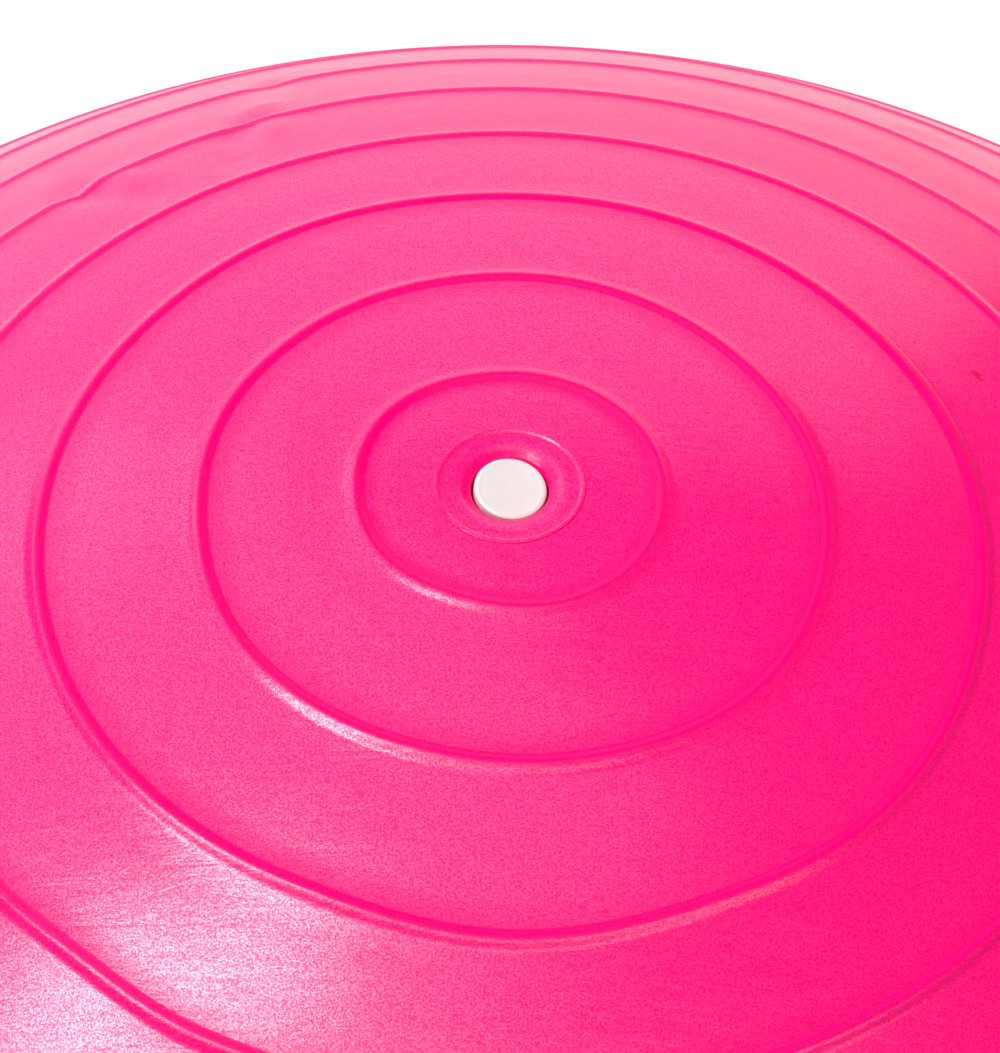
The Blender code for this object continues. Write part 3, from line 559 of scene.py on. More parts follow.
def domeOutline():
    size = domeSkin
    mouthAngle = math.asin(size["mouth"] / size["radius"])
    lastArc = mouthAngle * size["radius"]
    arcs = [size["hole"], size["hole"] + 0.35 * mm]
    for i in range(size["ribs"]):
        crest = size["firstRib"] + i * size["ribPitch"] + size["crest"]
        start = arcs[-1]
        gap = crest - size["innerFoot"] - start
        arcs += [start + gap * s / 5 for s in range(1, 5)]
        arcs += [crest + size["innerFoot"] * s / 5 for s in range(-5, 0)]
        arcs += [crest + size["outerFoot"] * s / 5 for s in range(6)]
    start = arcs[-1]
    arcs += [start + (lastArc - start) * s / 6 for s in range(1, 6)]
    outer = [onDome(arc, ribLift(arc)) for arc in arcs]
    turn = (size["mouthZ"] - size["flangeZ"] - size["skin"]) / (1 - math.cos(mouthAngle))
    centre = (
        size["mouth"] + turn * math.sin(mouthAngle),
        size["mouthZ"] + turn * math.cos(mouthAngle),
    )
    lean = 270 - math.degrees(mouthAngle)
    outer += arcOf(centre, turn, lean, 270, 8)
    beadMiddle = (size["beadCircle"], size["flangeZ"] + size["skin"] / 2)
    bead = arcOf(beadMiddle, size["bead"], 150, -150, 14)
    inner = arcOf(centre, turn + size["skin"], 270, lean, 6)
    innerReach = size["radius"] - size["skin"]
    holeAngle = math.asin(size["hole"] / innerReach)
    for s in range(1, 31):
        angle = mouthAngle + (holeAngle - mouthAngle) * s / 30
        inner.append((innerReach * math.sin(angle), domeCentreZ + innerReach * math.cos(angle)))
    return outer + bead + inner + [outer[0]]


skinPiece = turned("domeSkin", domeOutline(), domeSkin["sides"])

# painted shade: a smooth, darker band along the inner side of each rib, kept as a value on the mesh
ribPaintedShade = {
    "middle": -0.35 * mm,
    "half": 0.95 * mm,
    "fade": 0.5 * mm,
    "faintFrom": 95 * mm,
    "faintOver": 120 * mm,
    "faintest": 0.45,
}


# strength of the painted shade at a point, fainter away from the crown
def paintedShadeAt(point):
    size = domeSkin
    flat = math.hypot(point.x, point.y)
    if point.z < size["mouthZ"] or flat < size["hole"] + 2 * mm:
        return 0.0
    arc = size["radius"] * math.asin(min(flat / size["radius"], 1))
    rib = min(max(round((arc - size["firstRib"]) / size["ribPitch"]), 0), size["ribs"] - 1)
    away = abs(arc - size["firstRib"] - rib * size["ribPitch"] - ribPaintedShade["middle"])
    strength = 1.0 - (arc - ribPaintedShade["faintFrom"]) / ribPaintedShade["faintOver"]
    strength = min(max(strength, ribPaintedShade["faintest"]), 1.0)
    inside = (ribPaintedShade["half"] + ribPaintedShade["fade"] - away) / ribPaintedShade["fade"]
    return strength * min(max(inside, 0.0), 1.0)


# keeps the painted shade as a value on each vertex
def keepPaintedShade(piece, paintedShadeOf):
    paintedShade = piece.data.attributes.new("paintedShade", "FLOAT", "POINT")
    for vertex in piece.data.vertices:
        paintedShade.data[vertex.index].value = paintedShadeOf(vertex.co)


keepPaintedShade(skinPiece, paintedShadeAt)

# the skin isn't quite true, and has a few creases. Each pull is an arc from the crown, a compass
# angle, a slide outwards, a lift and a spread: degrees for the angle, millimetres for the rest
pulls = [
    (72, 315, 3.4, 0.0, 62),
    (62, 42, -1.5, 0.0, 48),
    (86, 272, 2.4, 0.0, 40),
    (31, 140, 1.1, 0.0, 26),
    (82, 120, 1.1, 0.0, 40),
    (58, 185, -1.0, 0.0, 32),
    (27, 250, -1.0, 0.0, 20),
    (117, 230, -1.2, 0.0, 26),
    (143.6, 113.4, 1.5, -0.9, 6),
    (136.0, 115.4, 0.0, -1.4, 8),
    (129.0, 117.6, 0.0, -1.0, 7),
    (150.0, 111.0, 0.0, 1.2, 8),
    (137.0, 112.0, 0.0, 1.0, 9),
    (144.8, 130.1, -1.2, -0.8, 6),
    (136.4, 128.4, 0.0, -1.1, 8),
    (128.0, 126.1, 0.0, -0.9, 7),
    (139.0, 126.0, 0.0, 1.0, 8),
    (173.9, 108.2, 1.4, -0.9, 7),
    (182.7, 58.5, 0.0, -0.7, 10),
]
editPiece(skinPiece)
spots = [vertex.co.copy() for vertex in skinPiece.data.vertices]
for arc, compass, slide, lift, spread in pulls:
    tilt, compass = arc * mm / domeSkin["radius"], math.radians(compass)
    flat = Vector((math.cos(compass), math.sin(compass), 0))
    outward = flat * math.sin(tilt) + Vector((0, 0, math.cos(tilt)))
    along = flat * math.cos(tilt) - Vector((0, 0, math.sin(tilt)))
    target = Vector((0, 0, domeCentreZ)) + outward * domeSkin["radius"]
    nearest = min(range(len(spots)), key=lambda i: (spots[i] - target).length_squared)
    selectWhere(skinPiece, lambda vertex: vertex.index == nearest)
    bpy.ops.transform.translate(
        value=(along * slide + outward * lift) * mm,
        use_proportional_edit=True,
        proportional_edit_falloff="SMOOTH",
        proportional_size=spread * mm,
    )
bpy.ops.object.mode_set(mode="OBJECT")
finishPiece(skinPiece, "pinkVinyl", "platform", ["dome_skin"], 60)

# valve seat

valveSeat = {
    "radius": 13.0 * mm,
    "lip": 13.55 * mm,  # the fine raised edge that laps over the dome's hole
    "dish": (10.2 * mm, 9.0 * mm),  # where its slope starts and steepens
    "sunk": 0.30 * mm,
    "mouth": 7.3 * mm,
    "headRoom": 6.9 * mm,
    "headFloor": 4.2 * mm,
    "bore": 4.7 * mm,
    "neck": 9 * mm,
    "flange": 20 * mm,
    "flangeTop": 3.98 * mm,
    "flangeBottom": 6.2 * mm,
    "length": 24 * mm,
    "sides": 128,
}


def seatOutline():
    size = valveSeat
    top = crownZ - size["sunk"]
    edge = [
        (size["radius"], top - 1.2 * mm, 0),
        (size["radius"], top + 0.03 * mm, 0),
        (size["lip"], top + 0.03 * mm, 0.05 * mm),
        (size["lip"] - 0.12 * mm, top + 0.24 * mm, 0.12 * mm),
        (size["radius"] - 0.12 * mm, top + 0.24 * mm, 0.15 * mm),
        (size["radius"] - 0.50 * mm, top - 0.02 * mm, 0.3 * mm),
        (size["dish"][0], top - 0.10 * mm, 0.8 * mm),
        (size["dish"][1], top - 0.28 * mm, 0.7 * mm),
        (size["mouth"], top - 1.05 * mm, 0.5 * mm),
        (size["headRoom"], top - 1.6 * mm, 0.3 * mm),
        (size["headRoom"], crownZ - size["headFloor"], 0.4 * mm),
        (size["bore"], crownZ - size["headFloor"], 0.3 * mm),
        (size["bore"], crownZ - size["length"], 0.3 * mm),
        (size["neck"], crownZ - size["length"], 0.8 * mm),
        (size["neck"], crownZ - size["flangeBottom"], 1.5 * mm),
        (size["flange"], crownZ - size["flangeBottom"], 0.5 * mm),
        (size["flange"], crownZ - size["flangeTop"], 0.5 * mm),
        (size["radius"], crownZ - size["flangeTop"], 0),
    ]
    return rounded(edge, 5)


def mouthPaintedShade(point):  # painted shade on the steep part of the dish too, smooth and darker
    if point.z < crownZ - 3 * mm:
        return 0.0
    inside = valveSeat["dish"][1] - math.hypot(point.x, point.y)
    return min(max(inside / (0.9 * mm), 0.0), 0.8)


seatPiece = turned("valveSeat", seatOutline(), valveSeat["sides"])
keepPaintedShade(seatPiece, mouthPaintedShade)
finishPiece(seatPiece, "pinkVinyl", "platform", ["valve_seat"], 60)

# air plug

airPlug = {
    "head": 6.5 * mm,
    "thick": 2.0 * mm,
    "sunk": 1.0 * mm,
    "edge": 0.7 * mm,
    "stem": 3.9 * mm,
    "barb": 0.4 * mm,
    "barbs": 3,
    "firstBarb": 6 * mm,
    "barbPitch": 5 * mm,
    "length": 22.5 * mm,
    "lean": (-6.0, -6.5),  # degrees about X and Y: its head was pressed in a little askew
    "sides": 96,
}


def plugOutline():
    size = airPlug
    top = crownZ - size["sunk"]
    under = top - size["thick"]
    line = [
        (0, top, 0),
        (size["head"] - 1.1 * mm, top, 0.3 * mm),
        (size["head"] - 0.75 * mm, top + 0.05 * mm, 0.3 * mm),
        (size["head"], top - 0.12 * mm, size["edge"]),
        (size["head"], under, 0.3 * mm),
        (size["stem"], under, 0.3 * mm),
    ]
    for i in range(size["barbs"]):
        barb = under - size["firstBarb"] - i * size["barbPitch"]
        line += [
            (size["stem"], barb + 1.5 * mm, 0),
            (size["stem"] + size["barb"], barb, 0.15 * mm),
            (size["stem"], barb - 0.4 * mm, 0),
        ]
    end = under - size["length"]
    line += [
        (size["stem"], end + 2 * mm, 0.5 * mm),
        (size["stem"] - 1.2 * mm, end, 0.5 * mm),
        (0, end, 0),
    ]
    return rounded(line, 4, loop=False)


plugPiece = turned("airPlug", plugOutline(), airPlug["sides"])
editPiece(plugPiece)
headUnder = crownZ - airPlug["sunk"] - airPlug["thick"]
selectWhere(plugPiece, lambda vertex: vertex.co.z > headUnder - 0.01 * mm)
headMiddle = (0, 0, headUnder + airPlug["thick"] / 2)
for axis, lean in zip("XY", airPlug["lean"]):
    bpy.ops.transform.rotate(value=math.radians(lean), orient_axis=axis, center_override=headMiddle)
bpy.ops.object.mode_set(mode="OBJECT")
finishPiece(plugPiece, "whiteVinyl", "plug", ["air_plug"], 50)

# clamp ring

beadRoom = {"inner": 287.1 * mm, "outer": 293.9 * mm, "top": 49.15 * mm, "bottom": 42.4 * mm}
clampRing = {
    "outer": 305 * mm,
    "foot": 44.3 * mm,
    "top": 58 * mm,
    "screws": 12,
    "screwCircle": 297 * mm,
    "firstScrew": 15,
    "screwRoom": 2.1 * mm,
    "sides": 256,
}
size = clampRing
clampPiece = turned(
    "clampRing",
    rounded(
        [
            (281.0 * mm, size["top"], 2.2 * mm),
            (289.0 * mm, size["top"], 3.5 * mm),
            (297.5 * mm, size["top"] - 1.0 * mm, 4 * mm),
            (303.6 * mm, size["top"] - 5.4 * mm, 3 * mm),
            (size["outer"], size["foot"] + 3.4 * mm, 2.0 * mm),
            (size["outer"], size["foot"], 0.6 * mm),
            (294.2 * mm, size["foot"], 0),
            (beadRoom["outer"], beadRoom["top"], 0.4 * mm),
            (beadRoom["inner"], beadRoom["top"], 0.4 * mm),
            (beadRoom["inner"], 47.65 * mm, 0.2 * mm),
            (282.6 * mm, 47.65 * mm, 1.2 * mm),
            (279.4 * mm, 49.0 * mm, 1.2 * mm),
            (278.1 * mm, 52.2 * mm, 1.2 * mm),
            (278.7 * mm, 56.6 * mm, 0.9 * mm),
        ],
        5,
    ),
    size["sides"],
)
low, high = size["foot"] - 1 * mm, size["foot"] + 8.4 * mm
clampHoles = [
    rod("hole", size["screwRoom"], (x, y, low), (x, y, high), 20)
    for x, y in ringPlaces(size["screws"], size["screwCircle"], size["firstScrew"])
]
joinTo(clampPiece, clampHoles, "DIFFERENCE")
finishPiece(clampPiece, "blackPlastic", "platform", ["clamp_ring"], 45)

# upper shell

deck = {
    "outer": 305 * mm,
    "inside": 302 * mm,
    "top": 44 * mm,
    "parting": 30.3 * mm,
    "rimUnder": 37 * mm,
    "plateUnder": 40.5 * mm,
    "padHalf": 27 * mm,
    "padFace": 308 * mm,
    "screwX": 22.5 * mm,
    "screwZ": 40 * mm,
    "screwRoom": 2.0 * mm,
    "sealInner": 282.9 * mm,
    "sealOuter": 286.3 * mm,
    "sealFloor": 40.7 * mm,
    "sides": 256,
}
size = deck
deckPiece = turned(
    "platformDeck",
    rounded(
        [
            (0, size["top"], 0),
            (size["sealInner"], size["top"], 0.2 * mm),
            (size["sealInner"], size["sealFloor"], 0.2 * mm),
            (size["sealOuter"], size["sealFloor"], 0.2 * mm),
            (size["sealOuter"], size["top"], 0.1 * mm),
            (beadRoom["inner"], size["top"], 0.1 * mm),
            (beadRoom["inner"], beadRoom["bottom"], 0.2 * mm),
            (beadRoom["outer"], beadRoom["bottom"], 0.2 * mm),
            (beadRoom["outer"], size["top"], 0.2 * mm),
            (size["outer"], size["top"], 0.6 * mm),
            (size["outer"], size["parting"], 0.6 * mm),
            (size["inside"], size["parting"], 0.2 * mm),
            (size["inside"], size["rimUnder"], 0.6 * mm),
            (275 * mm, size["rimUnder"], 0.6 * mm),
            (271.5 * mm, size["plateUnder"], 0.6 * mm),
            (0, size["plateUnder"], 0),
        ],
        3,
        loop=False,
    ),
    size["sides"],
)
pads = []
for side in (-1, 1):
    ends = sorted((side * (size["inside"] + 0.3 * mm), side * size["padFace"]))
    pad = block(
        "pad",
        (-size["padHalf"], ends[0], size["parting"] + 0.3 * mm),
        (size["padHalf"], ends[1], size["top"] - 0.3 * mm),
    )
    softenEdges(pad, 0.6 * mm)
    pads.append(pad)
joinTo(deckPiece, pads, "UNION")
padHoles = [
    rod(
        "hole",
        size["screwRoom"],
        (x, side * 298.5 * mm, size["screwZ"]),
        (x, side * 312 * mm, size["screwZ"]),
        24,
    )
    for side in (-1, 1)
    for x in (-size["screwX"], size["screwX"])
]
joinTo(deckPiece, padHoles, "DIFFERENCE")
finishPiece(deckPiece, "blackPlastic", "platform", ["platform_deck"], 35)

# finger pockets and the openings they sit in

gripPocket = {
    "circle": 271 * mm,
    "halfAngle": 10.4,
    "halfWidth": 17 * mm,
    "rim": 4 * mm,
    "rimTop": 7.2 * mm,
    "wall": 2 * mm,
    "bottom": 4 * mm,
    "top": 29 * mm,
}


# a slot that follows the platform's edge, as a solid; spin turns clockwise here
def bentSlot(name, halfWidth, bottom, top):
    circle, half = gripPocket["circle"], math.radians(gripPocket["halfAngle"])
    outer = circle + halfWidth
    deselectAll()
    bpy.ops.mesh.primitive_plane_add(
        size=mm,
        location=(outer * math.cos(half), -outer * math.sin(half), bottom),
    )
    piece = startPiece(name)
    editPiece(piece)
    bpy.ops.mesh.select_all(action="SELECT")
    bpy.ops.mesh.merge(type="CENTER")
    ends = [(circle * math.cos(half), y * circle * math.sin(half), bottom) for y in (1, -1)]
    turns = ((24, 2 * half, (0, 0, bottom)), (20, math.pi, ends[0]))
    turns += ((24, -2 * half, (0, 0, bottom)), (20, math.pi, ends[1]))
    for steps, angle, centre in turns:
        bpy.ops.mesh.spin(steps=steps, angle=-angle, center=centre, axis=(0, 0, 1))
    bpy.ops.mesh.select_all(action="SELECT")
    bpy.ops.mesh.remove_doubles(threshold=0.02 * mm)
    bpy.ops.mesh.edge_face_add()
    bpy.ops.mesh.extrude_region_move(TRANSFORM_OT_translate={"value": (0, 0, top - bottom)})
    closeSeams(piece)
    return piece


size = gripPocket
cups = {}
cup = bentSlot("gripCupRight", size["halfWidth"] + size["rim"], size["bottom"], size["rimTop"])
editPiece(cup, "FACE")
selectWhere(cup, lambda face: face.normal.z > 0.9, "polygons")
bpy.ops.mesh.inset(thickness=size["rim"])
bpy.ops.mesh.extrude_region_move(
    TRANSFORM_OT_translate={"value": (0, 0, size["top"] - size["rimTop"])}
)
selectWhere(cup, lambda face: face.normal.z < -0.9, "polygons")
bpy.ops.mesh.inset(thickness=size["rim"] + size["wall"])
bpy.ops.mesh.extrude_region_move(
    TRANSFORM_OT_translate={"value": (0, 0, size["top"] - size["bottom"] - size["wall"])}
)
bpy.ops.object.mode_set(mode="OBJECT")
softenEdges(cup, 0.8 * mm)
cups["gripCupRight"] = cup
cups["gripCupLeft"] = copyPiece(cup, "gripCupLeft", turn=math.pi)
for name, node in (("gripCupRight", "grip_cup_right"), ("gripCupLeft", "grip_cup_left")):
    finishPiece(cups[name], "greyPlastic", "platform", [node], 35)

# lower shell

pan = {
    "outer": 305 * mm,
    "inside": 302 * mm,
    "bottom": 4 * mm,
    "floor": 7.5 * mm,
    "parting": 30 * mm,
    "edge": 8 * mm,
    "matInner": 61.4 * mm,
    "matOuter": 178.6 * mm,
    "postCircle": 200 * mm,
    "post": 7.5 * mm,
    "postTop": 30.7 * mm,
    "footCircle": 266 * mm,
    "headRoom": 4.4 * mm,
    "screwRoom": 1.9 * mm,
    "footRoom": 15.3 * mm,
    "stemRoom": 4.3 * mm,
    "sides": 256,
}
size = pan
panPiece = turned(
    "platformPan",
    rounded(
        [
            (size["outer"], size["parting"], 0.6 * mm),
            (size["outer"], 20.5 * mm, 0.3 * mm),
            (size["outer"] - 0.6 * mm, 19.9 * mm, 0.2 * mm),  # a fine line around the wall
            (size["outer"] - 0.6 * mm, 18.9 * mm, 0.2 * mm),
            (size["outer"], 18.3 * mm, 0.3 * mm),
            (size["outer"], size["bottom"], size["edge"] * 1.15),
            (size["matOuter"], size["bottom"], 0.5 * mm),
            (size["matOuter"], size["bottom"] + 1 * mm, 0),
            (size["matInner"], size["bottom"] + 1 * mm, 0),
            (size["matInner"], size["bottom"], 0.5 * mm),
            (24.0 * mm, size["bottom"], 0.4 * mm),
            (24.0 * mm, size["bottom"] + 1.5 * mm, 0),
            (9.1 * mm, size["bottom"] + 1.5 * mm, 0.2 * mm),
            (9.1 * mm, 22.7 * mm, 0),
            (4.1 * mm, 22.7 * mm, 0),
            (4.1 * mm, size["postTop"], 0),
            (14.0 * mm, size["postTop"], 0),
            (14.0 * mm, size["floor"], 1.5 * mm),
            (size["inside"] - 0.2 * mm, size["floor"], 5.5 * mm),
            (size["inside"], 26 * mm, 0),
            (298.7 * mm, 28 * mm, 0),
            (298.7 * mm, 33 * mm, 0.4 * mm),
            (301.7 * mm, 33 * mm, 0.4 * mm),
            (301.7 * mm, size["parting"], 0),
        ],
        5,
    ),
    size["sides"],
)
postPlaces = ringPlaces(6, size["postCircle"], 0)
footPlaces = ringPlaces(6, size["footCircle"], 30)
posts = [
    rod("post", size["post"], (x, y, size["floor"] - 1 * mm), (x, y, size["postTop"]), 40)
    for x, y in postPlaces
]
joinTo(panPiece, posts, "UNION")
below = size["bottom"] - 2 * mm
cuts = []
for room, places, high, sides in (
    (size["headRoom"], postPlaces, 23.7 * mm, 40),
    (size["screwRoom"], postPlaces, 33 * mm, 24),
    (size["footRoom"], footPlaces, size["bottom"] + 1 * mm, 64),
    (size["stemRoom"], footPlaces, 10 * mm, 32),
):
    cuts += [rod("cut", room, (x, y, below), (x, y, high), sides) for x, y in places]
slotCut = bentSlot("cut", gripPocket["halfWidth"] + gripPocket["rim"] + 0.3 * mm, below, 10 * mm)
cuts += [slotCut, copyPiece(slotCut, "cut", turn=math.pi)]
joinTo(panPiece, cuts, "DIFFERENCE")
finishPiece(panPiece, "blackPlastic", "platform", ["platform_pan"], 35)

# mat, cap and feet on the underside

treadMat = {
    "inner": 62 * mm,
    "outer": 178 * mm,
    "top": 4.7 * mm,
    "bottom": 2.6 * mm,
    "ridge": 5.8 * mm,
    "groove": 0.9 * mm,
    "sides": 224,
}
size = treadMat
matLine = [(size["outer"], size["top"], 0.2 * mm), (size["outer"], size["bottom"], 0.6 * mm)]
ridges = int((size["outer"] - size["inner"]) / size["ridge"])
for i in range(1, ridges):  # ring grooves for grip
    middle = size["outer"] - i * size["ridge"]
    matLine += [
        (middle + 1.1 * mm, size["bottom"], 0.25 * mm),
        (middle + 0.6 * mm, size["bottom"] + size["groove"], 0.2 * mm),
        (middle - 0.6 * mm, size["bottom"] + size["groove"], 0.2 * mm),
        (middle - 1.1 * mm, size["bottom"], 0.25 * mm),
    ]
matLine += [(size["inner"], size["bottom"], 0.6 * mm), (size["inner"], size["top"], 0.2 * mm)]
matPiece = turned("treadMat", rounded(matLine, 1), size["sides"])
finishPiece(matPiece, "blackRubber", "platform", ["tread_mat"], 30)

centreCap = {
    "radius": 23.7 * mm,
    "top": 5.2 * mm,
    "bottom": 3.2 * mm,
    "dish": 3.75 * mm,
    "sides": 96,
}
size = centreCap
capPiece = turned(
    "centreCap",
    rounded(
        [
            (0, size["top"], 0),
            (7.5 * mm, size["top"], 0),
            (7.5 * mm, 11.7 * mm, 0.2 * mm),
            (8.7 * mm, 11.7 * mm, 0.4 * mm),
            (8.7 * mm, size["top"], 0.3 * mm),
            (size["radius"], size["top"], 0.2 * mm),
            (23.6 * mm, size["bottom"], 1.1 * mm),
            (20.0 * mm, size["bottom"], 0.5 * mm),
            (18.6 * mm, size["dish"], 0.8 * mm),
            (0, size["dish"], 0),
        ],
        4,
        loop=False,
    ),
    size["sides"],
)
finishPiece(capPiece, "greyPlastic", "platform", ["centre_cap"], 35)

footPad = {
    "radius": 15 * mm,
    "top": 4.7 * mm,
    "stem": 4 * mm,
    "barb": 4.9 * mm,
    "barbZ": 7.8 * mm,
    "groove": 0.7 * mm,
    "sides": 64,
}
size = footPad
footLine = rounded(
    [
        (0, size["barbZ"] + 3 * mm, 0),
        (3.0 * mm, size["barbZ"] + 3 * mm, 0.5 * mm),
        (size["barb"], size["barbZ"], 0.3 * mm),
        (size["stem"], size["barbZ"], 0),
        (size["stem"], size["top"], 0.2 * mm),
        (size["radius"], size["top"], 0.3 * mm),
        (size["radius"] - 1 * mm, 0, 1.1 * mm),
        (11.2 * mm, 0, 0.3 * mm),
        (10.7 * mm, size["groove"], 0.2 * mm),
        (9.6 * mm, size["groove"], 0.2 * mm),
        (9.1 * mm, 0, 0.3 * mm),
        (6.2 * mm, 0, 0.3 * mm),
        (5.7 * mm, size["groove"], 0.2 * mm),
        (4.6 * mm, size["groove"], 0.2 * mm),
        (4.1 * mm, 0, 0.3 * mm),
        (0, 0, 0),
    ],
    3,
    loop=False,
)
footModel = turned("footPad", footLine, size["sides"])
for i, (x, y) in enumerate(footPlaces, 1):
    foot = copyPiece(footModel, f"footPad{i}", (x, y, 0))
    finishPiece(foot, "blackRubber", "platform", [f"foot_pad_{i}"], 35)
bpy.data.objects.remove(footModel)

# screws that show


def crossScrew(name, shank, head, headHeight, length):
    # head up at zero, shank down; a cross recess is cut in the head
    line = [
        (0, headHeight, 0),
        (head * 0.72, headHeight, headHeight * 0.5),
        (head, headHeight * 0.45, headHeight * 0.3),
        (head, 0, 0.1 * mm),
        (shank, 0, 0.15 * mm),
        (shank, -length + 1.0 * mm, 0.3 * mm),
        (0, -length, 0),
    ]
    screw = turned(name, rounded(line, 4, loop=False), 40)
    arm, slit, deep = head * 0.52, head * 0.13, headHeight * 0.4
    bars = [
        block("bar", (-arm, -slit, deep), (arm, slit, headHeight + 1 * mm)),
        block("bar", (-slit, -arm, deep), (slit, arm, headHeight + 1 * mm)),
    ]
    joinTo(screw, bars, "DIFFERENCE")
    return screw


panScrew = crossScrew("panScrew", 1.5 * mm, 4.0 * mm, 3.0 * mm, 18.3 * mm)
editPiece(panScrew)
bpy.ops.mesh.select_all(action="SELECT")
bpy.ops.transform.rotate(value=math.pi, orient_axis="X", center_override=(0, 0, 0))
bpy.ops.object.mode_set(mode="OBJECT")
for i, (x, y) in enumerate(postPlaces, 1):
    screw = copyPiece(panScrew, f"panScrew{i}", (x, y, 23.4 * mm), turn=0.6 * i)
    finishPiece(screw, "zincSteel", "platform", [f"pan_screw_{i}"], 30)
bpy.data.objects.remove(panScrew)

# brackets, their screws and the swinging rings

bandRing = {
    "wire": 2.5 * mm,
    "half": 15.5 * mm,
    "corner": 4 * mm,
    "straight": 11 * mm,
    "pinY": 315 * mm,
    "pinZ": 37.5 * mm,
}
bracket = {
    "half": 27 * mm,
    "back": 308.3 * mm,
    "front": 311.8 * mm,
    "low": 31 * mm,
    "high": 43.4 * mm,
    "barrel": 5 * mm,
    "barrelHalf": 9 * mm,
    "bore": 3 * mm,
    "webHalf": 4.5 * mm,
    "corner": 3.2 * mm,
    "soft": 0.45 * mm,
}


def makeBracket():
    size, ring = bracket, bandRing
    body = block(
        "bandAnchorBack",
        (-size["half"], size["back"], size["low"]),
        (size["half"], size["front"], size["high"]),
    )
    editPiece(body, "EDGE")

    def runsThrough(edge):  # from the back face to the front one
        first, second = (body.data.vertices[i].co.y for i in edge.vertices)
        return abs(first - second) > 1 * mm

    selectWhere(body, runsThrough, "edges")
    bpy.ops.mesh.bevel(offset=size["corner"], segments=6, affect="EDGES")
    bpy.ops.object.mode_set(mode="OBJECT")
    web = block(
        "web",
        (-size["barrelHalf"], size["front"] - 1 * mm, ring["pinZ"] - size["webHalf"]),
        (size["barrelHalf"], ring["pinY"], ring["pinZ"] + size["webHalf"]),
    )
    span = [(x, ring["pinY"], ring["pinZ"]) for x in (-size["barrelHalf"], size["barrelHalf"])]
    barrel = rod("barrel", size["barrel"], *span, 48)
    joinTo(body, [web, barrel], "UNION")
    bore = rod("bore", size["bore"], *[(2 * x, y, z) for x, y, z in span], 40)
    room, z = deck["screwRoom"], deck["screwZ"]
    holes = [
        rod("hole", room, (x, 300 * mm, z), (x, 316 * mm, z), 32)
        for x in (-deck["screwX"], deck["screwX"])
    ]
    joinTo(body, [bore, *holes], "DIFFERENCE")
    softenEdges(body, size["soft"], 40)
    return body


def makeBandRing():
    size = bandRing
    half, corner, low = size["half"], size["corner"], size["pinZ"] - size["straight"]
    barHalf, drop = half - corner, size["straight"] - corner
    deselectAll()
    bpy.ops.mesh.primitive_circle_add(
        vertices=28,
        radius=size["wire"],
        location=(-barHalf, size["pinY"], size["pinZ"]),
        rotation=(0, math.pi / 2, 0),
    )
    ring = startPiece("bandRingBack")
    editPiece(ring)
    bpy.ops.mesh.select_all(action="SELECT")
    cornerZ = size["pinZ"] - corner
    for steps, angle, centre, move in (
        (10, math.pi / 2, (barHalf, size["pinY"], cornerZ), (2 * barHalf, 0, 0)),
        (44, math.pi, (0, size["pinY"], low), (0, 0, -drop)),
        (10, math.pi / 2, (-barHalf, size["pinY"], cornerZ), (0, 0, drop)),
    ):
        bpy.ops.mesh.extrude_region_move(TRANSFORM_OT_translate={"value": move})
        bpy.ops.mesh.spin(steps=steps, angle=-angle, center=centre, axis=(0, 1, 0))
    closeSeams(ring, 0.02 * mm)
    return ring


anchorBack = makeBracket()
ringBack = makeBandRing()
anchorFront = copyPiece(anchorBack, "bandAnchorFront", turn=math.pi)
ringFront = copyPiece(ringBack, "bandRingFront", turn=math.pi)
for piece, node in ((anchorBack, "band_anchor_back"), (anchorFront, "band_anchor_front")):
    finishPiece(piece, "blackPlastic", "platform", [node], 35)
for piece, place in ((ringBack, "back"), (ringFront, "front")):
    finishPiece(piece, "zincSteel", f"ring_{place}", [f"band_ring_{place}"], 60)

anchorScrew = crossScrew("anchorScrew", 1.6 * mm, 3.4 * mm, 2.0 * mm, 12.7 * mm)
editPiece(anchorScrew)
bpy.ops.mesh.select_all(action="SELECT")
bpy.ops.transform.rotate(value=math.pi / 2, orient_axis="X", center_override=(0, 0, 0))
bpy.ops.object.mode_set(mode="OBJECT")
headAt = max(vertex.co.y for vertex in anchorScrew.data.vertices)
flip = 0 if headAt < 3 * mm else math.pi  # the head faces out along +Y
for side, place in ((1, "back"), (-1, "front")):
    for x, hand in ((-deck["screwX"], "left"), (deck["screwX"], "right")):
        turn = flip if side > 0 else flip + math.pi
        name = "anchorScrew" + place.title() + hand.title()
        screw = copyPiece(anchorScrew, name, (x, side * 312.1 * mm, deck["screwZ"]), turn=turn)
        node = f"anchor_screw_{place}_{hand}"
        finishPiece(screw, "zincSteel", "platform", [node], 30)
bpy.data.objects.remove(anchorScrew)

# finishes on the pieces that stay as they are

keptFinishes = {
    "rim_seal": "blackRubber",
    "stiffening_core": "greyPlastic",
    "centre_bolt": "zincSteel",
    **{f"clamp_screw_{i:02d}": "zincSteel" for i in range(1, clampRing["screws"] + 1)},
}
for node, finish in keptFinishes.items():
    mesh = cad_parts[node].data
    mesh.materials.clear()
    mesh.materials.append(materials[finish])
print("finishes on kept pieces:", len(keptFinishes))

# floor, light and camera

studio = {
    "floor": (0.79, 0.79, 0.79),
    "floorPatch": (0.77, 0.77, 0.775),
    "world": 0.015,
    "reach": 5.0,  # how far each panel stands from the crown
    "panels": {
        # compass angle from +X, height angle, width and height in degrees, radiance
        "back": (101, 16.5, 72, 56, 1.16),
        "key": (190, 60.5, 10.5, 27, 25.0),
        "leftWash": (143, 61, 44, 70, 1.5),
        "frontWash": (-102, 68, 92, 17, 3.2),
    },
}


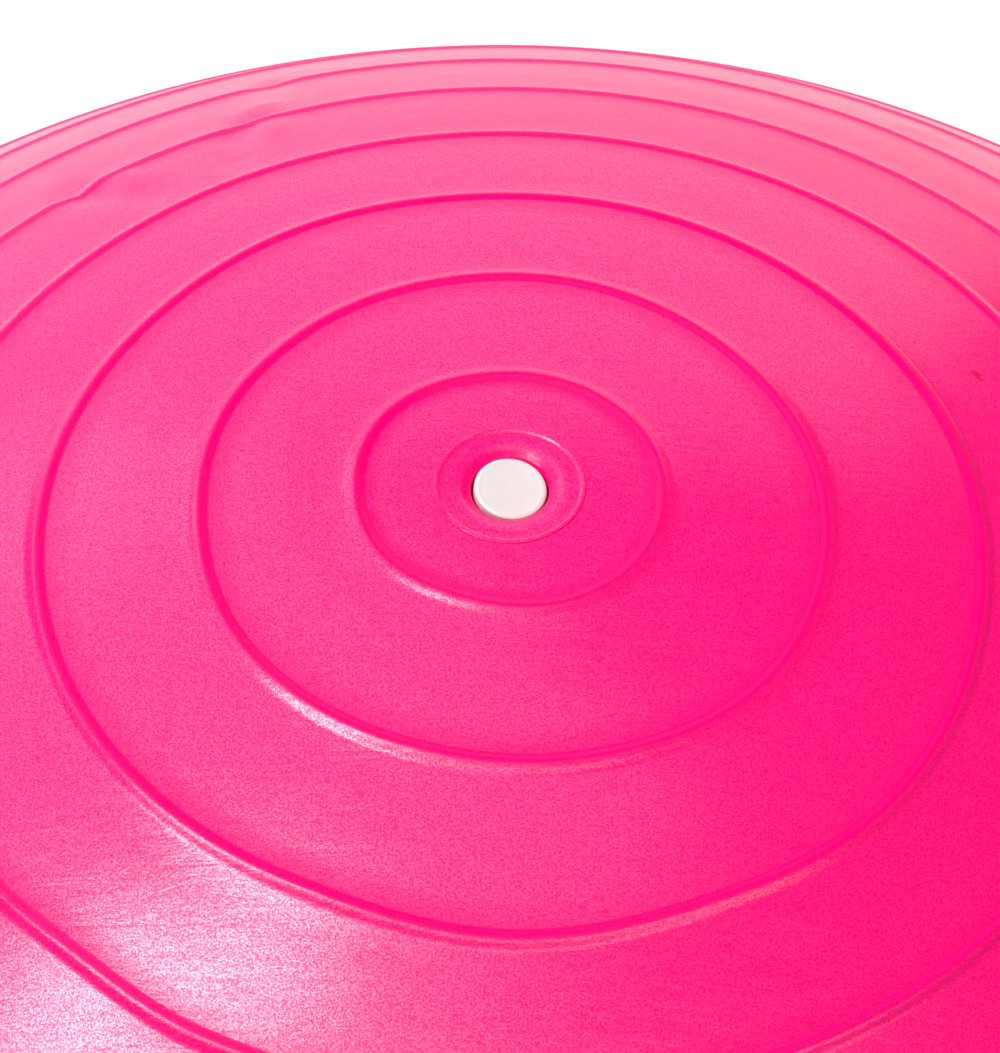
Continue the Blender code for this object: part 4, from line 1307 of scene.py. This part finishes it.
def makeFloor():
    deselectAll()
    bpy.ops.mesh.primitive_plane_add(size=16, location=(0, 0, 0))
    floor = startPiece("floor")
    tree, shader, place = newFinish("paleFloor")
    patches = noiseOf(tree, place, 2.5, 3, 0.5)
    tone = rangeOf(tree, patches, 0.3, 0.7, 0, 1)
    tone = blendColour(tree, tone, studio["floor"], studio["floorPatch"])
    link(tree, tone, shader.inputs["Base Color"])
    shader.inputs["Roughness"].default_value = 0.9
    floor.data.materials.append(materials["paleFloor"])


def makeLights():
    world = bpy.data.worlds.new("studio")
    bpy.context.scene.world = world
    world.use_nodes = True
    glow = world.node_tree.nodes["Background"]
    glow.inputs["Color"].default_value = (1, 1, 1, 1)
    glow.inputs["Strength"].default_value = studio["world"]
    middle = Vector((0, 0, crownZ))
    for name, (compass, rise, wide, tall, radiance) in studio["panels"].items():
        compass, rise = math.radians(compass), math.radians(rise)
        flat = math.cos(rise)
        away = Vector((flat * math.cos(compass), flat * math.sin(compass), math.sin(rise)))
        deselectAll()
        bpy.ops.object.light_add(
            type="AREA",
            location=middle + away * studio["reach"],
            rotation=(-away).to_track_quat("-Z", "Y").to_euler(),
        )
        panel = bpy.context.object
        panel.name = name + "Panel"
        light = panel.data
        light.shape = "RECTANGLE"
        light.size = 2 * studio["reach"] * math.tan(math.radians(wide / 2))
        light.size_y = 2 * studio["reach"] * math.tan(math.radians(tall / 2))
        light.energy = radiance * math.pi * light.size * light.size_y


view = {
    "distance": 0.86878,  # from the middle of the dome's sphere
    "tilt": 0.48642,  # from straight above, towards the near side
    "pan": 0.0028,
    "pitch": 0.2109,
    "roll": -0.0125,
    "sensor": 36,
    "lens": 120.53,
}


def makeCamera():  # first aimed at the middle of the sphere, then turned
    middle = Vector((0, 0, domeCentreZ))
    away = Vector((0, -math.sin(view["tilt"]), math.cos(view["tilt"])))
    forward = -away
    right = Vector((1, 0, 0))
    up = right.cross(forward)
    for axis, angle in ((up, view["pan"]), (right, view["pitch"]), (forward, view["roll"])):
        turn = Matrix.Rotation(angle, 3, axis.copy())
        for vector in (forward, right, up):
            if vector is not axis:
                vector.rotate(turn)
    deselectAll()
    bpy.ops.object.camera_add(location=middle + away * view["distance"])
    camera = bpy.context.object
    facing = Matrix((right, up, -forward)).transposed().to_4x4()
    camera.matrix_world = Matrix.Translation(camera.location) @ facing
    camera.data.sensor_width = view["sensor"]
    camera.data.lens = view["lens"]
    camera.data.clip_end = 50
    bpy.context.scene.camera = camera


makeFloor()
makeLights()
makeCamera()
bpy.context.scene.view_settings.view_transform = "Standard"
bpy.context.scene.view_settings.look = "None"
print("stage set")
